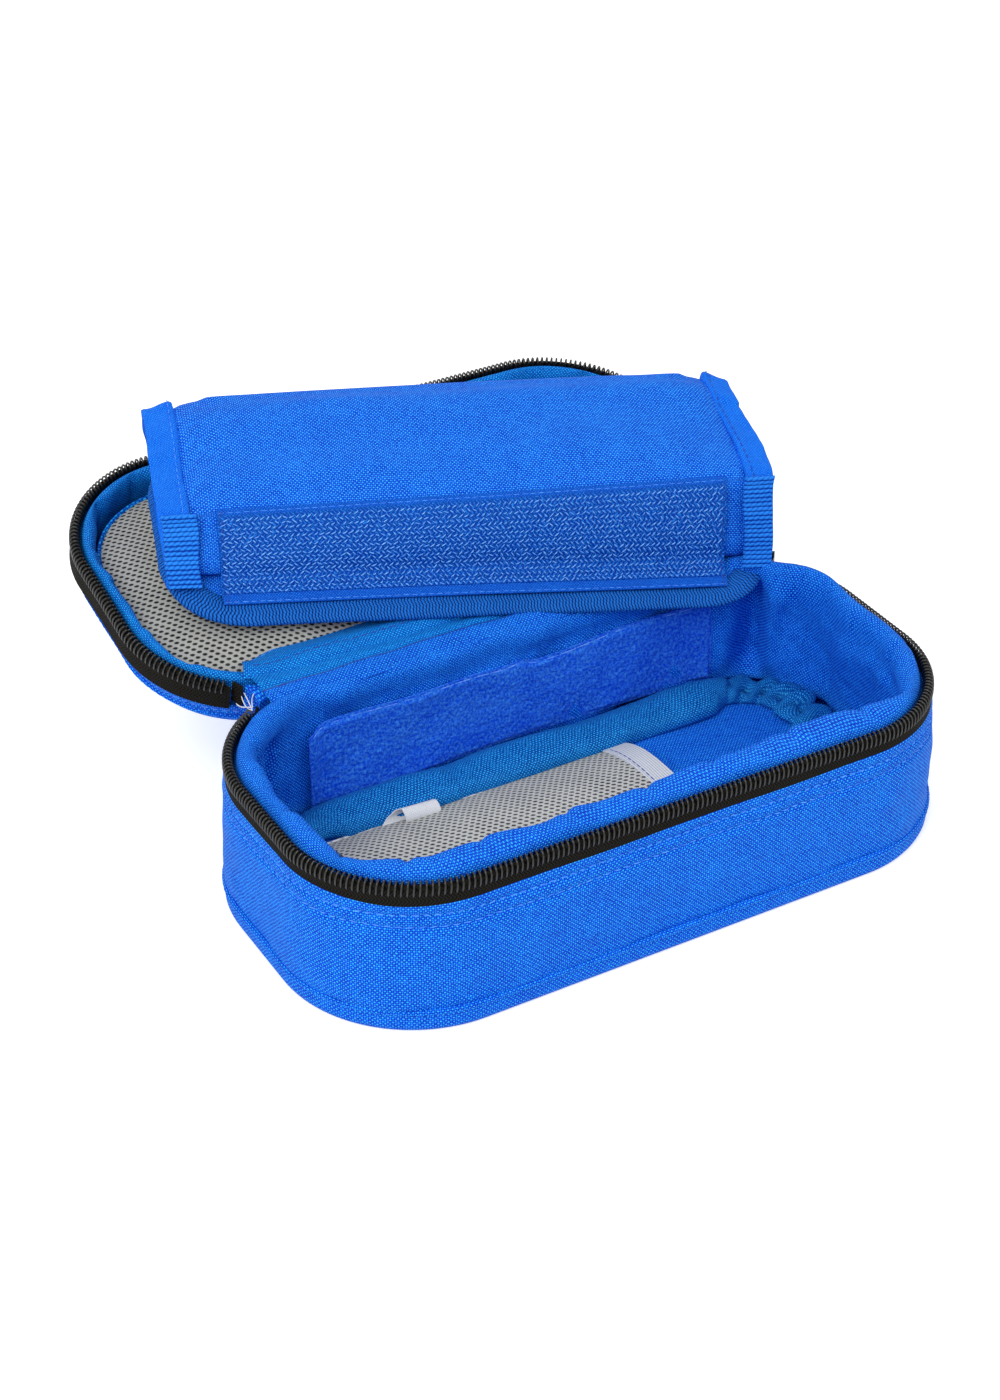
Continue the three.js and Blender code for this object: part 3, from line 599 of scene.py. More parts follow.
def tubePiece(name, paths, radius, material, body, replaced=(), sides=6, flat=1.0):
    vertices, faces, corners = [], [], []
    turn = np.linspace(0, 2 * math.pi, sides, endpoint=False)[:, None]
    for path in paths:
        path = np.asarray(path, float)
        along = unit(np.gradient(path, axis=0))
        up = np.array([0.0, 0.0, 1.0]) if abs(along[0][2]) < 0.9 else np.array([1.0, 0.0, 0.0])
        first = unit(np.cross(along, up))
        second = np.cross(along, first)
        fade = np.ones((len(path), 1, 1))
        fade[0] = fade[-1] = 0.45
        ring = first[:, None] * np.cos(turn) + second[:, None] * np.sin(turn) * flat
        start, n = len(vertices), len(path)
        vertices.extend((path[:, None] + ring * (radius * fade)).reshape(-1, 3))
        for i in range(n - 1):
            for j in range(sides):
                a, b, k = start + i * sides, start + (i + 1) * sides, (j + 1) % sides
                faces.append([a + j, b + j, b + k, a + k])
                corners += [[p * 0.4, q * 0.3] for p, q in ((i, j), (i + 1, j), (i + 1, j + 1), (i, j + 1))]
        for row in (0, n - 1):
            faces.append([start + row * sides + j for j in range(sides)])
            corners += [[0.1 * j, 0.0] for j in range(sides)]
    return finishMesh(name, vertices, faces, corners, material, body, replaced, 60)


def stitchRow(name, path, material, body, length, pitch, radius):
    starts = np.arange(0.4, runOf(path)[-1] - length, pitch)
    return tubePiece(name, [pick(np.linspace(s, s + length, 4), path) for s in starts], radius, material, body, sides=5)


# outer shells: fabric wall, bottom or top panel, piping between them
shellSettings = {
    "step": 1.3, "foot": 7.1, "wallTop": 6.8, "belly": 0.5, "rows": (10.2, 13.9), "stitch": (2.0, 3.1, 0.24),
    "furrow": 0.85, "panelStep": 1.6, "panelUp": 5.4, "soft": 1.0, "pipingStep": 1.2, "pipingUp": 6.3,
}
lidShell = dict(shellSettings, rows=(12.2,), belly=0.2, wallTop=9.0, soft=2.2)


def shellSkin(prefix, depth):  # the lid has no stiff floor, so its wall leans in below the zipper
    lean = 0.5 * np.clip(np.asarray(depth, float) - 8.5, 0, None) if prefix == "lid" else 0.0
    return skin(depth) - lean


def outerWall(prefix, depth, place, settings):
    s = np.arange(0, rimRun, settings["step"])[:, None]
    foot, top, rows = depth - settings["foot"], settings["wallTop"], settings["rows"]
    seams = [r + q for r in rows for q in (-0.5, 0, 0.5)]
    d = np.unique(np.concatenate([np.linspace(top, foot, int(foot - top)), seams]))
    face = shellSkin(prefix, d)
    outer = face + 0.25 + settings["belly"] * np.sin(math.pi * (d - top) / (foot - top)) + 0 * s
    spot = place(beside(s, outer, d))
    for r in rows:
        outer = outer - settings["furrow"] * hump(d - r, 0.75) * (0.8 + 0.4 * np.sin(s / 3.1 * 2 * math.pi))
    outer = outer + (0.28 * crumple(spot, 34, 11) + 0.1 * crumple(spot, 9, 12)) * ease(d, top, top + 6)
    outer[:, 0] -= 0.3
    outer[:, -1] -= 0.35
    offsets = np.concatenate([outer, (face - 1.0 + 0 * s)[:, ::-1]], 1)
    gridPiece(prefix + "_fabric_wall", place(beside(s, offsets, np.concatenate([d, d[::-1]]))), "oxfordBlue", prefix,
              (prefix + "_outer_wall",), ring=True)
    for index, r in enumerate(rows):
        path = place(beside(s[:, 0], outer[:, np.searchsorted(d, r)] + 0.14, r))
        stitchRow(f"{prefix}_topstitch_{index}", np.concatenate([path, path[:1]]), "threadBlue", prefix,
                  *settings["stitch"])


def endPanel(prefix, depth, place, side, node, settings):
    s = np.arange(0, rimRun, settings["panelStep"])[:, None]
    up, soft = depth - settings["panelUp"], settings["soft"]
    reach = shellSkin(prefix, depth - 2.0)
    edge = [(shellSkin(prefix, up) + 0.1, up), (shellSkin(prefix, depth - 3 * soft) + 0.2, depth - 3.0 * soft),
            (reach + 0.1, depth - 1.6 * soft), (reach - 0.6 * soft, depth - 0.35 * soft), (reach - 2.4 * soft, depth)]
    path = np.concatenate([resample(edge, 9), resample([(-14, depth), (-30, depth)], 4)])
    grid = beside(s, path[:, 0], path[:, 1])
    tail = [grid[:, -1:] * (1 - f) + np.array([0, 0, -depth]) * f for f in (0.35, 0.7, 0.999)]
    grid = np.concatenate([grid, *tail], 1)
    dents = np.abs(0.2 * crumple(place(grid), 40, 21 + len(prefix)))
    grid[..., 2] += (np.abs(grid[..., 2] + depth) < 0.01) * dents * 0.6
    inside = grid + np.array([0, 0, 1.0])
    inside[:, :9, :2] = np.stack(rim(s, path[:, 0] - 1.0), -1)[:, :9]
    inside[:, 0, 2] = grid[:, 0, 2]
    run = np.concatenate([runOf(path), np.zeros(len(tail))])
    face = np.where((np.arange(len(run)) > 7)[:, None], grid[..., :2], np.stack(np.broadcast_arrays(s, run), -1))
    loop, uvs = [np.swapaxes(np.concatenate([a, b[:, ::-1]], 1), 0, 1) for a, b in ((grid, inside), (face, face))]
    gridPiece(f"{prefix}_{side}", place(loop), "oxfordBlue", prefix, (node,), ring=True, uvs=uvs)


def piping(prefix, depth, place, settings):
    s = np.arange(0, rimRun, settings["pipingStep"])[:, None]
    at, turn = depth - settings["pipingUp"], np.linspace(0, 2 * math.pi, 14, endpoint=False)
    rope = 0.07 * np.sin(s / 2.6 * 2 * math.pi) + 0.05 * np.sin(s / 21.7 * 2 * math.pi)
    loop = beside(s, shellSkin(prefix, at) - 0.2 + (1.05 + rope) * np.cos(turn), at + (0.85 + rope) * np.sin(turn))
    gridPiece(prefix + "_edge_piping", place(loop), "oxfordBlue", prefix, (prefix + "_seam_piping",), ring=True,
              sharp=80)


for prefix, place, side, node, settings in (("base", onBase, "under", "base_bottom_panel", shellSettings),
                                            ("lid", onLid, "top", "lid_top_panel", lidShell)):
    outerWall(prefix, case[prefix + "Depth"], place, settings)
    endPanel(prefix, case[prefix + "Depth"], place, side, node, settings)
    piping(prefix, case[prefix + "Depth"], place, settings)
print("outer shells")


# zippers: tape, hairpin coil and the tape's turned ends
zipSettings = {
    "pitch": 1.5, "radius": 0.31, "slant": 0.6, "tapeStep": 1.2, "ends": ((37.9, 40.9), (193.2, 196.2)),
    "hairpin": [(1.4, 4.3), (1.72, 3.2), (1.6, 1.5), (1.0, 0.5), (0.1, 0.3), (-0.7, 0.9), (-1.0, 2.0), (-0.9, 3.0)],
}


def zipper(prefix, place, turn, foot, sides, settings):
    start, end = case["zipFrom"] + turn, case["zipTo"] + turn
    s = np.arange(start, end + 0.01, (end - start) / round((end - start) / settings["tapeStep"]))[:, None]
    d = np.linspace(2.2, foot, 14)
    outer = np.minimum(skin(d) - 0.03, skin(8.2)) + 0.06 * np.sin(s / 9.0) - 0.4 * ease(d, 3.0, 2.2)
    loop = beside(s, np.concatenate([outer, outer[:, ::-1] - 0.85], 1), np.concatenate([d, d[::-1]]))
    gridPiece(prefix + "_tape", place(loop), "tapeBlack", prefix, (prefix + "_zipper_tape",))
    pin = resample(settings["hairpin"], 10)
    slant = settings["slant"] * np.linspace(-0.5, 0.5, len(pin))
    paths = [place(beside(at + slant, *pin.T)) for at in np.arange(start + 0.8, end - 0.8, settings["pitch"])]
    tubePiece(prefix + "_coil", paths, settings["radius"], "coilBlack", prefix, (prefix + "_zipper_coil",), sides=7)
    cord = place(beside(np.arange(start + 0.5, end - 0.5, 1.5), 0.25, 2.5))  # the coil is sewn round it
    tubePiece(prefix + "_coil_core", [cord], 1.0, "tapeBlack", prefix, sides=8)
    for index, (side, ends) in enumerate(zip(sides, settings["ends"])):
        run, d = turn + np.linspace(*ends, 10)[:, None], np.linspace(1.6, 8.2, 10)
        turned = ease(np.abs(run - turn - ends[index]), 3, 0)
        outer = skin(d) - 1.7 * turned - 0.25 * np.abs(np.linspace(-1, 1, 10)) ** 4
        loop = beside(run, np.concatenate([outer, outer[:, ::-1] - 1.0], 1), np.concatenate([d, d[::-1]]))
        gridPiece(f"{prefix}_tape_end_{side}", place(loop), "tapeBlack", prefix, (f"{prefix}_zip_end_{side}",))


zipper("base", onBase, 0.0, 8.6, ("right", "left"), zipSettings)
zipper("lid", onLid, case["zipTurn"], 9.4, ("left", "right"), zipSettings)
print("zippers")


# padded lining of the base
liningSettings = {
    "loop": [(-1.7, 4.6), (-1.9, 1.6), (-3.0, -0.5), (-5.8, -0.8), (-7.6, 1.4), (-7.8, 4.6), (-6.4, 9.0),
             (-6.9, 38.8), (1.6, 38.8), (0.0, 4.9)],
    "round": [0.5, 1.5, 2.0, 2.2, 2.4, 3.0, 6.0, 1.0, 1.0, 0.6],
    "frontRoll": 3.4, "frontHump": 2.6, "backRightRise": 3.4, "leftShade": 3.0, "crease": 5.2, "keep": 0.88,
    # where it eases in and out: two stretches of the rim, two of the depth
    "front": (280, 302, 432, 462), "back": (50, 62, 172, 190), "creased": (2, 8, 30, 39), "shaded": (6, 14, 32, 38),
    # place round the rim, depth
    "tucks": [(250, 1.2), (276, 1.0), (297, 1.3), (322, 0.9), (347, 1.1), (371, 1.3), (392, 1.0), (417, 1.2),
              (441, 1.3), (462, 0.9), (486, 1.2), (505, 0.9), (14, 1.2), (30, 1.0), (232, 1.0), (212, 1.1)],
    # place round the rim, depth, width
    "folds": [(20, 1.3, 2.6), (-2, 1.1, 3.0), (-22, 1.0, 2.5), (66, 0.8, 2.2), (197, 2.4, 2.2), (205, 4.6, 2.6),
              (213, -2.6, 2.6), (221, 3.2, 2.6), (231, 2.2, 2.6)],
}


def baseLining(settings):
    s = np.arange(0, rimRun, 1.0)[:, None]
    o, d = roundLoop(settings["loop"], settings["round"], 1.0).T
    flat = onBase(beside(s, o, d))
    inside = ease(-o, 2.4, 5.5)
    roll, wall = inside * ease(d, 13, 3), inside * ease(d, 5, 12)
    front, back = between(s, *settings["front"]), between(s, *settings["back"])
    move = -(settings["frontRoll"] * front + settings["frontHump"] * around(s, 428, 20)) * roll + back * roll
    move -= 1.6 * around(s, 12, 22) * ease(-o, 1.2, 1.6) * ease(d, 6, 3) * ease(o, -4.5, -2.5)
    turns = s / rimRun * 2 * math.pi
    move += roll * (0.55 * (np.sin(turns * 17 + 1.0) + 0.5 * np.sin(turns * 26 + 2.0)) + 0.3 * crumple(flat, 22, 31))
    lift = np.zeros_like(move)
    for at, deep in settings["tucks"]:
        fold = around(s, at, 1.6) - 0.3 * around(s, at + 3.6, 3.0)
        move += 0.75 * deep * fold * inside * ease(d, 17, 4)
        lift -= deep * 0.3 * fold * ease(d, 3, -0.5)
    move += wall * (0.45 + 1.3 * around(s, 5, 62)) * crumple(flat * np.array([1, 1, 0.55]), 23, 33)
    move += wall * 0.18 * crumple(flat, 7, 34)
    crease = around(s, 31, 4.2) - 0.5 * around(s, 22, 5.5) - 0.35 * around(s, 40, 4.0)
    move += settings["crease"] * crease * inside * between(d, *settings["creased"])
    for at, deep, width in settings["folds"]:
        move += deep * around(s - (d - 20) * 0.22, at, width) * wall
    move += settings["leftShade"] * around(s, 214, 24) * inside * between(d, *settings["shaded"])
    move += 0.5 * around(s, 116.0, 0.8) * wall  # the seam at the back
    rise = settings["backRightRise"] * around(s, 6, 40) - back * (1 - around(s, 22, 40))
    lift += rise * ease(d, 9, 0) * ease(-o, 1.5, 3.0)
    lift += 0.3 * ease(d, 3, 0) * crumple(flat, 20, 35) * (1 - 0.9 * back)
    piece = gridPiece("base_padded_lining", onBase(beside(s, o + move, d - lift)), "liningBlue", "base",
                      ("base_lining_wall", "base_wall_foam"), ring=True, sharp=80)
    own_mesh(piece)


def floorPad(name, offset, top, thick, place, body, material, replaced, seed, dent):
    shares = np.linspace(0.02, 1, 26)
    x, y = ringsOf(*rim(np.arange(0, rimRun, 2.0), offset), shares)
    dome = top + dent * crumple(spots(x, y, 0.0), 30, seed) * ease(shares, 1.0, 0.75)[:, None]
    dome[-1] -= min(0.8, thick * 0.3)
    grid = plate(x, y, dome, top - thick)
    return gridPiece(name, place(grid), material, body, replaced, uvs=grid[..., :2])


baseLining(liningSettings)
pad = floorPad("base_floor_pad", -7.3, -37.9, 7.0, onBase, "base", "liningBlue",
               ("base_lining_floor", "base_floor_foam"), 41, 0.35)
print("base lining")


# gathered binding round the floor, loop strip, pen sleeve, care label
bindingSettings = {
    "loop": [(-20.6, 37.6), (-20.6, 34.4), (-18.4, 32.5), (-14.2, 32.4), (-10.6, 34.2), (-8.2, 35.8), (-8.0, 37.8)],
    "round": 2.3, "middle": (-15.2, 35.0), "ruche": 4.8,
    # where it eases in and out round the rim; the ruched stretch starts 90 mm before the rim's own start
    "ruched": (35, 60, 122, 136), "back": (35, 60, 176, 200), "lap": (142.0, 142.6, 153, 158),
}


def gatheredBinding(settings):
    s = np.arange(0, rimRun, 0.7)[:, None]
    loop = roundLoop(settings["loop"], settings["round"], 0.8)
    (o, d), away = loop.T, unit(loop - np.array(settings["middle"]))
    flat = onBase(beside(s, o, d))
    ruched = between(np.mod(s + 90, rimRun), *settings["ruched"])
    warp = s + 1.1 * np.sin(s / 7.3) + 0.8 * np.sin(s / 3.9 + 1)
    fine = np.abs(np.sin(warp * math.pi / 3.4)) ** 0.7
    turn = np.arctan2(away[:, 1], away[:, 0])
    big = np.abs(np.sin(warp * math.pi / 9.8 + 0.8 * np.sin(turn + s / 17))) ** 0.7
    swell = (fine - 0.7) * 0.12 * (1 - ruched) + ruched * (big - 0.6) * settings["ruche"]
    swell = swell + 0.45 * crumple(flat, 24, 51) + ruched * 0.5 * crumple(flat, 10, 52) - 1.8 * around(s, 29, 2.6)
    swell = (swell + 0.55 * between(s, *settings["lap"])) * ease(d, 37.6, 35.5)
    back = between(s, *settings["back"])
    offset = o - back * (0.6 + 4.8 * ease(o, -13.5, -19.6)) + away[:, 0] * swell + ruched * 0.8 * np.sin(s / 9.0)
    loop = beside(s, offset, d + away[:, 1] * swell + ruched * 2.6 * ease(d, 36, 31))
    # the gathered binding takes the darker cyan, painted shade for its folds
    piece = gridPiece("base_gathered_binding", onBase(loop), "ruchedCyanPaintedShade", "base", ("base_floor_binding",),
                      ring=True, sharp=80)


loopSettings = {"from": 45.5, "to": 181.5, "top": 10.2, "foot": 36.4, "edge": 1.0}


def loopStrip(settings):
    s = np.arange(settings["from"], settings["to"], 0.45)[:, None]
    top = settings["top"] + (0.9 * np.sin(s / 15.0 + 0.6) + 0.5 * np.sin(s / 7.3) + 3.4 * ease(s, 175.5, 181.5)
                             - 1.2 * around(s, 113, 3.0))
    depth = top + (settings["foot"] + 0.4 * np.sin(s / 21) - top) * np.linspace(0, 1, 52)
    base = -7.35 - 0.25 * np.sin(s / 11.0) - 0.45 * np.sin(s / 25.0 + 1)
    spot = beside(s, base, depth)
    margin = np.minimum(np.minimum(s - s[0], s[-1] - s), np.minimum(depth - depth[:, :1], depth[:, -1:] - depth))
    fluff = 0.6 + 0.09 * crumple(spot, 1.5, 61) + 0.05 * crumple(spot, 3.3, 62) + 0.3 * crumple(spot, 19, 63)
    thick = 0.55 + fluff * ease(margin, settings["edge"] * 0.6, settings["edge"] * 1.5)
    loop = np.concatenate([beside(s, base - thick, depth), beside(s, base + 0.05, depth)[:, ::-1]], 1)
    gridPiece("base_loop_strip", onBase(loop), "loopPile", "base", ("loop_strip",), sharp=70)
    line = beside(s[:, 0], base[:, 0] - 0.62, top[:, 0] + 0.75)
    stitchRow("base_loop_stitch", onBase(line), "threadLight", "base", 5.4, 5.8, 0.12)


sleeveSettings = {"from": -69.0, "to": 21.4, "half": 22.0, "rise": 6.0, "foot": 8.9, "shift": 1.7}


def archLine(settings, grow):  # flatter towards the far side, where it meets the binding
    t = np.linspace(-1, 1, 60)
    shape = (settings["rise"] + grow[1]) * (0.12 + 0.88 * (1 - np.abs(t) ** 2.6))
    y = t * (settings["half"] + grow[0]) + settings["shift"] * ease(t, -0.2, 1)
    return np.stack([y, settings["foot"] + shape], 1)


def penSleeve(settings):
    low, high = settings["from"], settings["to"]
    grid = extrude(np.linspace(low, high, 90), archLine(settings, (-0.3, -0.45)))
    grid[..., 2] += 0.35 * crumple(grid, 26, 71) * np.sin(math.pi * np.linspace(0, 1, 60))
    mesh = sheetPiece("pen_sleeve_net", grid, 0.8, "netGrey", "base", ("pen_sleeve_mesh",))
    line = archLine(settings, (0.1, 0.1))
    sheetPiece("pen_sleeve_band", extrude(np.linspace(high - 0.9, high + 6.9, 12), line), 1.0, "elasticGrey", "base",
               ("pen_sleeve_elastic",))
    path = spots(high + 0.3, line[:, 0], line[:, 1] + 0.55)[4:-4]
    stitchRow("pen_sleeve_stitch_0", path, "threadDark", "base", 1.9, 2.4, 0.16)
    reach = settings["half"] - 0.2
    for side, y in (("near", -reach), ("far", reach + settings["shift"])):
        path = spots(np.linspace(low, high + 6.8, 60), y, settings["foot"] + 1.0)
        tubePiece("pen_sleeve_seam_" + side, [path], 0.55, "elasticGrey", "base", flat=0.8)


labelSettings = {
    "x": (-45.6, -34.6), "y": 21.2, "foot": 11.0, "gape": 7.0,
    "loop": [(-2.0, 0.2), (-2.3, 1.6), (-1.4, 3.2), (0.3, 4.0), (1.8, 3.2), (2.2, 1.5), (1.4, 0.3), (-0.6, 0.0)],
}


def careLabel(settings):
    grid = extrude(np.linspace(*settings["x"], 24), resample(settings["loop"], 22) + [settings["y"], settings["foot"]])
    share = np.linspace(0, 1, 24)[:, None]
    under = ease(np.linspace(0, 1, 22), 0.42, 1.0)  # the far side reaches further left, so the loop gapes
    grid[..., 0] -= settings["gape"] * under * (1 - share)
    grid[..., 2] -= 0.9 * under * (1 - share)
    grid[..., 2] -= (grid[..., 2] - settings["foot"]) * 0.25 * share
    label = sheetPiece("care_tag", grid, 0.3, "labelWhite", "base", ("care_label",))


gatheredBinding(bindingSettings)
loopStrip(loopSettings)
penSleeve(sleeveSettings)
careLabel(labelSettings)
print("base fittings")


# fabric hinge: lining across it, the outer web behind, loose ends of thread at its left
hingeSettings = {
    "from": 41.5, "to": 192.6, "rise": 0.7, "seam": 48.6, "seamShadeHalf": 0.36, "groove": 0.8, "thick": 0.55,
    "webThick": 0.85, "webDepth": 8.5, "threadRoot": 198.5,
    "threads": ((193.0, 5.5, 0.2), (191.5, 3.4, 0.8), (195.0, 6.5, -1.4), (193.5, 6.0, -0.6)),  # end, reach, rise
}


def hingeCover(settings):
    x, y = rim(np.linspace(settings["from"], settings["to"], 170)[:, None], -5.2)
    share = np.linspace(0, 1, 34)
    grid = onBase(spots(x, y, -1.4)) * (1 - share[:, None]) + onLid(spots(x, -y, -1.5)) * share[:, None]
    arch = np.sin(math.pi * share)
    grid[..., 2] += 1.9 * ease(share, 0, 0.22) * (1 - share) + settings["rise"] * arch
    grid[..., 2] += 0.22 * crumple(grid * np.array([1, 2.5, 1]), 18, 81) * arch
    grid[..., 2] -= settings["groove"] * hump(share - 0.47, 0.06)
    cover = sheetPiece("hinge_cover", grid, settings["thick"], "liningBlue", None)
    cover.data.materials.append(materials["liningCyan"])
    cover.data.materials.append(materials["threadDark"])
    # faces along the seam get the dark thread colour: a seam line, darkened as painted shade of the crease at the fold
    for face in cover.data.polygons:
        past = face.center.y / mm - settings["seam"]
        face.material_index = 2 if abs(past) < settings["seamShadeHalf"] else int(past > 0)
    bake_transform(cover)


def hingeWeb(settings):
    down = np.linspace(settings["webDepth"], 0.9, 9)
    rows = beside(np.linspace(settings["from"], settings["to"], 170)[:, None], skin(down) - 0.45, down)
    near, far = onBase(rows), onLid(rows * np.array([1, -1, 1]))
    t = np.linspace(0.1, 0.9, 9)
    over = near[:, -1:] * (1 - t[:, None]) + far[:, -1:] * t[:, None]
    over[..., 2] += 0.45 * np.sin(math.pi * t)
    web = sheetPiece("hinge_outer_web", np.concatenate([near, over, far[:, ::-1]], 1), settings["webThick"],
                     "oxfordBlue", None)
    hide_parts("base_hinge_web", "lid_hinge_web")
    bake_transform(web)


def looseThreads(settings):
    t, root, paths = np.linspace(0, 1, 14), settings["threadRoot"], []
    for k, (run, out, up) in enumerate(settings["threads"]):
        height = 0.8 + up * t + 1.1 * np.sin(math.pi * t + k)
        paths.append(onBase(beside(root - (root - run) * t, -1.5 + (out + 1.5) * t, -height)))
    tubePiece("hinge_loose_threads", paths, 0.16, "threadWhite", "base", sides=5)


hingeCover(hingeSettings)
hingeWeb(hingeSettings)
looseThreads(hingeSettings)
print("hinge")


# inside of the lid: padded lining, floor pad, net pocket, strip along the hinge, pocket's mouth
lidLiningSettings = {
    "loop": [(-1.7, 4.6), (-1.9, 1.7), (-2.7, 0.7), (-4.2, 0.9), (-5.4, 2.8), (-5.4, 5.5), (-5.0, 8.2),
             (-5.4, 16.6), (-3.2, 16.6), (-0.6, 10.5), (0.0, 4.9)],
    "round": [0.5, 1.2, 1.4, 1.6, 2.0, 2.4, 3.0, 1.0, 1.0, 2.0, 0.6],
    "tucks": (150, 168, 187, 205, 226, 243, 262, 284, 60, 85, 112, 135, 480, 500, 10, 30),
}


def lidLining(settings):
    s = np.arange(0, rimRun, 1.2)[:, None]
    o, d = roundLoop(settings["loop"], settings["round"], 0.9).T
    inside = ease(-o, 2.6, 5.0)
    move = inside * (0.45 * np.sin(s / rimRun * 2 * math.pi * 23) + 0.4 * crumple(onLid(beside(s, o, d)), 12, 91))
    for at in settings["tucks"]:
        move += 0.8 * (around(s, at, 1.2) - 0.4 * around(s, at + 3, 2.2)) * inside * ease(d, 15, 5)
    piece = gridPiece("lid_padded_lining", onLid(beside(s, o + move, d)), "liningCyan", "lid",
                      ("lid_lining_wall", "lid_wall_foam"), ring=True, sharp=80)


pocketSettings = {"offset": -5.2, "squeeze": 4.0, "shift": -2.0, "edgeDepth": 6.9, "rise": 6.0, "thick": 0.8}


def meshPocket(settings):
    def outline(step, inward):
        x, y = rim(np.arange(0, rimRun, step), settings["offset"] - inward)
        return x, y * (1 - settings["squeeze"] / (2 * (49 + settings["offset"]))) + settings["shift"]
    shares = np.linspace(0.02, 1, 46)
    x, y = ringsOf(*outline(1.5, 0), shares, settings["shift"])
    sag = 0.7 * crumple(spots(x, y, 0.0), 42, 95) * ease(shares, 1.0, 0.8)[:, None]
    top = settings["rise"] * (1 - shares[:, None] ** 4.5) + sag - settings["edgeDepth"]
    grid = plate(x, y, top, top - settings["thick"])
    piece = gridPiece("lid_net_pocket", onLid(grid), "meshGrey", "lid", ("lid_mesh_pocket",), uvs=grid[..., :2])
    path = spots(*outline(1.2, 0.2), 0.2 - settings["edgeDepth"])
    tubePiece("lid_pocket_piping", [onLid(np.concatenate([path, path[:1]]))], 0.7, "liningCyan", "lid", sides=8)


bandSettings = {
    "run": (301.0, 318.0, 436.0, 453.0),  # where it starts, is at its widest, narrows and ends
    "section": [(-1.9, 0.9), (-4.6, -0.7), (-7.8, 0.1), (-11.6, 2.6), (-15.6, 4.6)],
    "mouthHalf": 60, "mouth": [(33.2, -3.6), (33.9, -2.2), (36.0, -1.6), (38.4, -3.0), (38.8, -4.2)],
}


def lidStrips(settings):
    s = np.linspace(settings["run"][0], settings["run"][-1], 170)[:, None]
    o, d = resample(settings["section"], 20).T
    share = np.linspace(0, 1, 20)
    ends = between(s, *settings["run"])
    grid = beside(s, o * (1 - 0.3 * (1 - ends) * share), d + 0.25 * np.sin(s / 8.0) * (1 - share))
    grid[..., 2] += 0.3 * crumple(grid, 20, 97)
    band = sheetPiece("lid_hinge_strip", onLid(grid), 0.8, "liningCyan", "lid", ("lid_hinge_band",))
    for name, row, material in (("near", 6, "threadDark"), ("far", 17, "threadBlue")):
        path = onLid(grid[3:-3, row] + np.array([0, 0, 0.45]))
        stitchRow(f"lid_hinge_stitch_{name}", path, material, "lid", 2.2, 3.0, 0.17)
    x = np.linspace(-settings["mouthHalf"], settings["mouthHalf"], 120)
    grid = extrude(x, resample(settings["mouth"], 14))
    grid[..., 2] += 0.3 * np.sin(x / 14)[:, None] + 0.2 * crumple(grid, 16, 98)
    sheetPiece("lid_mouth_binding", onLid(grid), 0.8, "bindingCyan", "lid", ("lid_pocket_binding",))


lidLining(lidLiningSettings)
lidPad = floorPad("lid_floor_pad", -6.6, -17.0, 3.6, onLid, "lid", "liningCyan",
                  ("lid_lining_floor", "lid_floor_foam"), 92, 0.2)
meshPocket(pocketSettings)
lidStrips(bandSettings)
print("lid")


# pouch: puffed cover, hook strip, end tapes, webbing, pad under it, film and cold pack inside
pouchSettings = {
    "half": 82.0, "coverHalf": 79.2, "voxel": 0.0042, "pressure": 4.0, "frames": 20, "cap": 1.9, "crown": 1.6,
    "rearRise": 3.7, "fold": 24.3, "top": (2, 12, 34, 40), "rear": (8, 42, 44, 52),  # the last two count from the fold
}
pouchCorners = np.array([(-0.3, 2.8), (12.3, 23.2), (57.0, 26.0), (57.0, 2.8)])  # y and z of its section
pouchEdges = np.roll(pouchCorners, -1, 0) - pouchCorners


def pouchProfile(inside, radius, spacing):  # the section, drawn in from all its sides but the foot
    lines = []
    for k, (corner, way) in enumerate(zip(pouchCorners, unit(pouchEdges))):
        out = np.array([-way[1], way[0]])
        lines.append((out, out @ corner - (inside if k < 3 else 0)))
    return roundLoop([np.linalg.solve(*zip(lines[k - 1], lines[k])) for k in range(4)], radius, spacing)


def profileRun(y, z):  # how far round the section a point lies, from the front foot
    best, run, start = np.full(y.shape, 1e9), np.zeros(y.shape), 0.0
    for a, edge in zip(pouchCorners, pouchEdges):
        length = np.linalg.norm(edge)
        t = np.clip(((y - a[0]) * edge[0] + (z - a[1]) * edge[1]) / length ** 2, 0, 1)
        gap = np.hypot(y - a[0] - t * edge[0], z - a[1] - t * edge[1])
        use = gap < best
        best, run = np.where(use, gap, best), np.where(use, start + t * length, run)
        start += length
    return run


def solidFromLoops(name, loops):
    work = bmesh.new()
    rows = [[work.verts.new(tuple(p * mm)) for p in loop] for loop in loops]
    n = len(rows[0])
    for a, b in zip(rows, rows[1:]):
        for j in range(n):
            work.faces.new((a[j], b[j], b[(j + 1) % n], a[(j + 1) % n]))
    work.faces.new(rows[0])
    work.faces.new(rows[-1][::-1])
    bmesh.ops.recalc_face_normals(work, faces=work.faces)
    mesh = bpy.data.meshes.new(name)
    work.to_mesh(mesh)
    work.free()
    return newObject(name, mesh)


def applyModifiers(solid):
    mesh = bpy.data.meshes.new_from_object(solid.evaluated_get(bpy.context.evaluated_depsgraph_get()))
    solid.modifiers.clear()
    old, solid.data = solid.data, mesh
    bpy.data.meshes.remove(old)


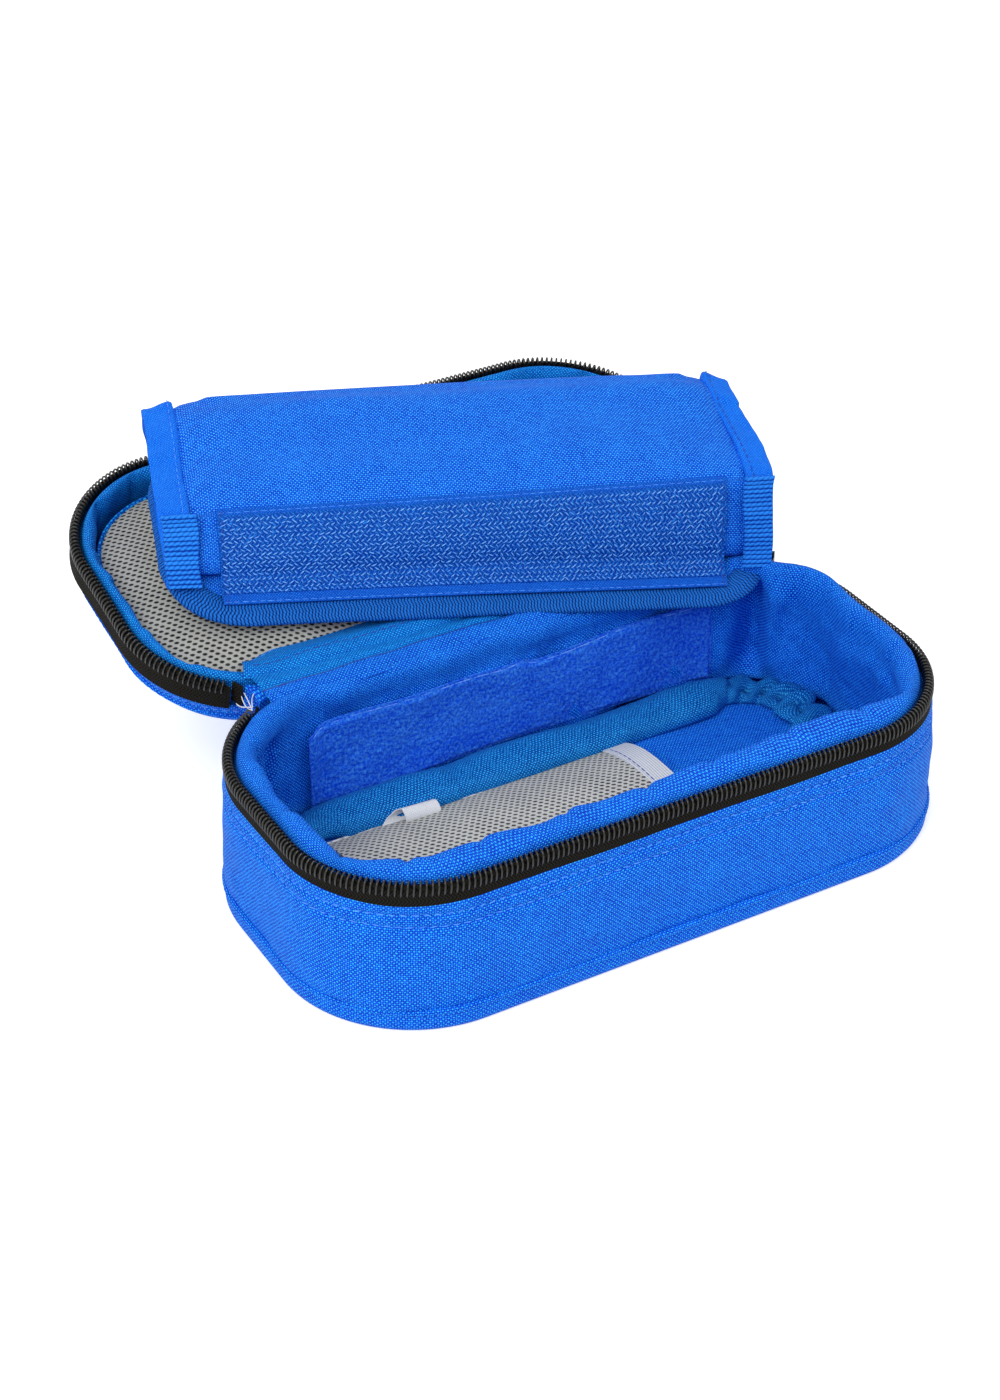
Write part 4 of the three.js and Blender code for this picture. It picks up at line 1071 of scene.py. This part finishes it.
def puff(solid, voxel, pressure, frames, cap):  # cloth with pressure swells it, and no point moves past cap
    remesh = solid.modifiers.new("remesh", "REMESH")
    remesh.mode, remesh.voxel_size = "VOXEL", voxel
    applyModifiers(solid)
    before = np.array([v.co for v in solid.data.vertices])
    scene = bpy.context.scene
    scene.frame_set(1)
    cloth = solid.modifiers.new("cloth", "CLOTH").settings
    cloth.use_pressure, cloth.uniform_pressure_force = True, pressure
    cloth.quality, cloth.mass = 5, 0.15
    cloth.tension_stiffness = cloth.compression_stiffness = 25
    cloth.bending_stiffness = 2.0
    cloth.effector_weights.gravity = 0
    for f in range(1, frames + 1):
        scene.frame_set(f)
        bpy.context.view_layer.update()
    applyModifiers(solid)
    scene.frame_set(1)
    move = np.array([v.co for v in solid.data.vertices]) - before
    size = np.linalg.norm(move, axis=1, keepdims=True)
    move *= np.minimum(1, cap * mm / np.maximum(size, 1e-9))
    solid.data.vertices.foreach_set("co", (before + move).ravel())
    divide = solid.modifiers.new("divide", "SUBSURF")
    divide.levels = divide.render_levels = 1
    applyModifiers(solid)


def pouchCover(settings):
    loops = []
    for x in np.linspace(-settings["coverHalf"], settings["coverHalf"], 24):
        middle = 1 - abs(x / settings["coverHalf"]) ** 4
        loops.append(extrude(np.array([x]), pouchProfile(0.9 - 0.7 * middle, (1.5, 3.2, 2.6, 1.5), 1.2))[0])
    solid = solidFromLoops("pouch_puffed_cover", loops)
    puff(solid, settings["voxel"], settings["pressure"], settings["frames"], settings["cap"])
    mesh = solid.data
    local = np.array([v.co for v in mesh.vertices]) / mm
    run, far = profileRun(local[:, 1], local[:, 2]), np.abs(local[:, 0] / settings["half"])
    past = run - settings["fold"]
    top, rear = between(past, *settings["top"]), between(past, *settings["rear"])
    local[:, 2] += settings["crown"] * top * (1 - far ** 3) + settings["rearRise"] * rear * (1 - far ** 14)
    local[:, 2] -= 1.4 * ease(np.abs(local[:, 0]), 72, 78) * ease(local[:, 1], 18, 57) * ease(local[:, 2], 4, 20)
    local[:, 2] += top * 0.4 * crumple(local * np.array([1, 1.6, 1]), 34, 101)
    local[:, 2] -= 0.45 * hump(past - 0.6, 0.7)
    mesh.vertices.foreach_set("co", (local * mm).ravel())
    tree = BVHTree.FromPolygons([v.co for v in mesh.vertices], [list(p.vertices) for p in mesh.polygons])
    corner = np.zeros(len(mesh.loops), np.int32)
    mesh.loops.foreach_get("vertex_index", corner)
    uv = np.stack([local[:, 0], run], -1)[corner].astype(np.float32)
    mesh.uv_layers.new(name="cloth").data.foreach_set("uv", uv.ravel())
    mesh.vertices.foreach_set("co", (onPouch(local) * mm).ravel())
    mesh.shade_smooth()
    mesh.materials.clear()
    mesh.materials.append(materials["pouchBlue"])
    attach(solid, "pouch")
    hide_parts("pouch_cover", "pouch_insulation")
    return tree


frontWay, frontOut = np.array([12.5, 21.0]) / 24.44, np.array([0.0, -21.0, 12.5]) / 24.44


def onFront(x, run, off=0.0):  # up the front, and below its foot forward over the pad's edge
    up, flap = np.maximum(run, 0), np.minimum(run, 0)
    z = 2.8 + frontWay[1] * up + 0.42 * flap + 0.8 * ease(-flap, 0, 1.5) + frontOut[2] * off
    return spots(x, frontWay[0] * up + 0.95 * flap + frontOut[1] * off, z)


def layOn(tree, points, out, off, far=9.0):  # drops points in the pouch's own frame on to its cover
    lift = []
    for p in points.reshape(-1, 3):
        place, _, _, gap = tree.ray_cast(Vector((p + out * far) * mm), Vector(-out), 0.02)
        lift.append(0.0 if place is None else far - gap / mm)
    lift = np.reshape(lift, points.shape[:2])
    for _ in range(6):
        lift[1:-1] = (lift[:-2] + 2 * lift[1:-1] + lift[2:]) / 4
        lift[:, 1:-1] = (lift[:, :-2] + 2 * lift[:, 1:-1] + lift[:, 2:]) / 4
    return points + out * (lift + off)[..., None]


hookSettings = {
    "half": 68.6, "low": -5.6, "high": 23.9, "tape": 0.7, "field": 2.6, "top": 1.0, "pitch": 1.5, "row": 1.35,
    "thread": 0.2, "stray": 0.12,
}


def hookStrip(tree, settings):
    x = np.linspace(-settings["half"], settings["half"], 130)
    run = np.linspace(settings["low"], settings["high"], 38)
    grid = layOn(tree, onFront(x[:, None], run), frontOut, 0.55)
    grid += frontOut * (0.35 * np.sin(x / 23.0)[:, None] * np.linspace(1, 0.2, 38))[..., None]
    # the tape takes the darker copy of tapeBlue, painted shade for its shadowed lower flap
    sheetPiece("pouch_hook_tape", onPouch(grid), settings["tape"], "tapeBluePaintedShade", "pouch", ("hook_strip",))
    low = np.searchsorted(run, settings["low"] + settings["field"])
    high = np.searchsorted(run, settings["high"] - settings["top"])
    field = grid[:, low:high] + frontOut * 0.5
    field = field + frontOut * (0.06 * crumple(field, 2.0, 111))[..., None]
    sheetPiece("pouch_hook_field", onPouch(field), 0.5, "hookPile", "pouch")
    dice, paths, stepX, stepRun = np.random.default_rng(7), [], x[1] - x[0], run[1] - run[0]
    for r, v in enumerate(np.arange(0.6, (high - low - 1) * stepRun - 0.4, settings["row"])):
        for u in np.arange(1.2 + 0.6 * (r % 2), 2 * settings["half"] - 1.2, settings["pitch"]):
            (a, i), (b, j) = math.modf(u / stepX), math.modf(v / stepRun)
            if i + a > len(field) - 2 or j + b > field.shape[1] - 2:
                continue
            corner, right, above = field[int(i), int(j)], field[int(i) + 1, int(j)], field[int(i), int(j) + 1]
            at = corner + (right - corner) * a + (above - corner) * b
            side = (1 if r % 2 else -1) * dice.uniform(0.5, 1.0)
            along = np.array([side, *(frontWay * dice.uniform(0.45, 0.95))])
            if dice.uniform() < settings["stray"]:
                along *= np.array([-1, 1, 1])
            hook = ((-0.9, 0.1), (-0.4, 0.5), (0.45, 0.62), (1.0, 0.42))
            paths.append(onPouch([at + along * t * 0.72 + frontOut * h for t, h in hook]))
    tubePiece("pouch_hooks", paths, settings["thread"], "hookLight", "pouch", sides=4)
    for name, line, lift, thread, pitch, thick in (
            ("low", grid[:, 1], 0.42, "threadBlue", 2.4, 0.14), ("high", grid[:, -2], 0.42, "threadBlue", 2.4, 0.14),
            ("left", grid[1], 0.75, "threadDark", 2.3, 0.16), ("right", grid[-2], 0.75, "threadDark", 2.3, 0.16)):
        stitchRow("pouch_hook_stitch_" + name, onPouch(line + frontOut * lift), thread, "pouch", 1.8, pitch, thick)


tapeSettings = {
    "wide": 7.4, "past": 0.3, "step": 0.9, "stitch": (1.7, 2.5, 0.15),
    # where the tape is lapped, its thread
    "left": ((44.5, 45.5, 68, 72), "threadBlue"), "right": ((56.0, 57.0, 68, 72), "threadDark"),
}


def endTape(side, sign, half, settings):
    lap, thread = settings[side]
    outer, inner = [resample(np.concatenate([loop, loop[:1]]), 151)[:-1] for loop in (
        pouchProfile(-0.45, (1.5, 2.6, 2.2, 1.5), 0.8), pouchProfile(0.8, (1.0, 2.0, 1.8, 1.0), 0.8))]
    run, away = profileRun(outer[:, 0], outer[:, 1]), unit(outer - inner)
    step = settings["step"] * between(run, *lap)
    body = outer + away * (step + 0.18 * np.sin(run / 4.1))[:, None]
    x = sign * np.linspace(half - settings["wide"], half + settings["past"], 12)
    sway = 0.35 * np.sin(run / 6.5 + sign)
    rows = [spots(at + sway + 0.5 * sign * step, *(body - away * 0.35 * (k in (0, 11))).T) for k, at in enumerate(x)]
    rows += [spots(at + sway * (k != 0), *inner.T) for k, at in enumerate(x[::-1])]
    flat = np.stack(rows, 1)
    grid = endSag(flat)
    grid[..., 2] += 0.15 * crumple(flat, 6, 120)
    gridPiece(f"pouch_tape_{side}", onPouch(grid), "tapeBlue", "pouch", (f"pouch_end_tape_{side}",), ring=True,
              sharp=70)
    seen = (run > 4) & (run < 84)
    line = (outer + away * (step + 0.3)[:, None])[seen]
    path = onPouch(endSag(spots(sign * (half - 5.9), line[:, 0], line[:, 1])))
    stitchRow(f"pouch_tape_stitch_{side}", path, thread, "pouch", *settings["stitch"])


def sidePanel(side, sign, half):
    panel, shares = pouchProfile(2.6, 3.0, 1.5), np.linspace(0.02, 1, 12)
    rings = panel.mean(0) + (panel - panel.mean(0)) * shares[:, None, None]
    bulge = sign * (half - 1.9 + 1.3 * (1 - shares ** 2))
    top = spots(bulge[:, None], rings[..., 0], rings[..., 1])
    grid = endSag(np.concatenate([top, top[::-1] - np.array([sign * 0.9, 0, 0])], 0))
    gridPiece(f"pouch_side_{side}", onPouch(grid), "pouchBlue", "pouch", (f"pouch_end_panel_{side}",),
              uvs=grid[..., 1:])


webSettings = {"x": (73.6, 81.6), "run": (0.6, 24.0), "off": 1.3, "thick": 1.5, "ribs": 1.35}


def frontWeb(side, sign, settings):
    x, run = sign * np.linspace(*settings["x"], 14), np.linspace(*settings["run"], 110)
    swell = 0.07 * np.abs(np.sin(run / settings["ribs"] * math.pi)) + 0.5 * ease(run, 21.5, 23.6)
    grid = onFront(x[:, None], run, settings["off"]) + frontOut * (swell + 0.12 * np.sin(x / 3.0)[:, None])[..., None]
    grid[..., 0] += sign * 0.5 * np.sin(run / 4.0)
    sheetPiece(f"pouch_webbing_{side}", np.swapaxes(onPouch(grid), 0, 1), settings["thick"], "webbingBlue", "pouch",
               (f"pouch_web_{side}",))


padSettings = {"shape": (60.7, 13.0, 16.0), "middle": 24.2, "bend": 2.2}  # straight halves and corner of its outline


def pouchPad(settings):
    def outline(offset, count):
        s = np.linspace(0, oblongEnds(*settings["shape"])[-1], count, endpoint=False)[:, None]
        x, y = oblong(s, offset, *settings["shape"])
        return s, x, y + settings["middle"]
    shares = np.linspace(0.02, 1, 16)
    _, x, y = outline(0.0, 300)
    x, y = ringsOf(x[:, 0], y[:, 0], shares, settings["middle"])
    low = 0.1 - 0.7 * (1 - shares ** 4)[:, None] + 0.25 * crumple(spots(x, y, 0.0), 30, 131) * (shares < 0.95)[:, None]
    grid = plate(x, y, low, 2.6)
    grid[..., 2] -= settings["bend"] * ease(grid[..., 1], 8, -8)
    pad = gridPiece("pouch_pad", onPouch(grid), "pouchBlue", "pouch", ("pouch_base_panel",), uvs=grid[..., :2])
    s = outline(0.0, 900)[0]
    turn = np.linspace(0, 2 * math.pi, 18, endpoint=False)
    ribs = 0.22 * np.abs(np.sin(s * math.pi / 1.5)) - 0.1 + 0.12 * np.sin(s / 8.0)
    _, x, y = outline(2.6 + (4.4 + ribs) * np.cos(turn), 900)
    grid = spots(x, y, 1.3 + (1.75 + ribs) * np.sin(turn))
    grid[..., 2] -= settings["bend"] * ease(grid[..., 1], 8, -8)
    # the binding's colours carry painted shade from the pouch above it
    gridPiece("pouch_pad_binding", onPouch(grid), "padBindingPaintedShade", "pouch", ("pouch_panel_binding",), ring=True, sharp=80)


insideSettings = {"filmIn": 6.75, "filmHalf": 76, "packHalf": 61.0, "packY": (9.5, 49.0), "packFoot": 3.0, "weld": 0.93}


def foilLining(settings):  # wrinkled film inside the insulation
    loop = pouchProfile(settings["filmIn"], (1.0, 2.4, 2.4, 1.0), 0.9)
    grid = extrude(np.linspace(-settings["filmHalf"], settings["filmHalf"], 120), loop[loop[:, 1] > 3.3])
    grid[..., 1:] += (0.12 * crumple(grid, 9, 141) + 0.06 * crumple(grid, 4, 142))[..., None]
    sheetPiece("pouch_foil_film", onPouch(grid), 0.4, "foilFilm", "pouch", ("pouch_foil_lining",))


def coldPack(settings):  # a filled film pillow with a flat welded edge
    t = np.linspace(0, 2 * math.pi, 200, endpoint=False)
    (near, far), foot, weld = settings["packY"], settings["packFoot"], settings["weld"]
    shares = np.concatenate([np.linspace(0.02, 0.9, 14), [weld, 0.965, 1.0]])
    x = settings["packHalf"] * np.sign(np.cos(t)) * np.abs(np.cos(t)) ** 0.22
    y = (near + far) / 2 + (far - near) / 2 * np.sign(np.sin(t)) * np.abs(np.sin(t)) ** 0.28
    x, y = ringsOf(x, y, shares, (near + far) / 2)
    swell = np.sqrt(np.clip(1 - (shares / weld) ** 6, 0, 1))[:, None]
    grid = plate(x, y, foot + 0.5 + swell * (3.9 + 0.35 * crumple(spots(x, y, 0.0), 22, 151)), foot)
    pack = gridPiece("pouch_cold_pack", onPouch(grid), "gelFilm", "pouch", ("gel_pack",), uvs=grid[..., :2])


hookStrip(pouchCover(pouchSettings), hookSettings)
pouchEnds = {"left": -1, "right": 1}
for side, sign in pouchEnds.items():
    endTape(side, sign, pouchSettings["half"], tapeSettings)
    sidePanel(side, sign, pouchSettings["half"])
for side, sign in pouchEnds.items():
    frontWeb(side, sign, webSettings)
pouchPad(padSettings)
foilLining(insideSettings)
coldPack(insideSettings)
for node in ("slider_body", "slider_bail", "pull_tab"):
    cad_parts[node].data.materials.clear()
    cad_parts[node].data.materials.append(materials["sliderMetal"])
print("pouch")
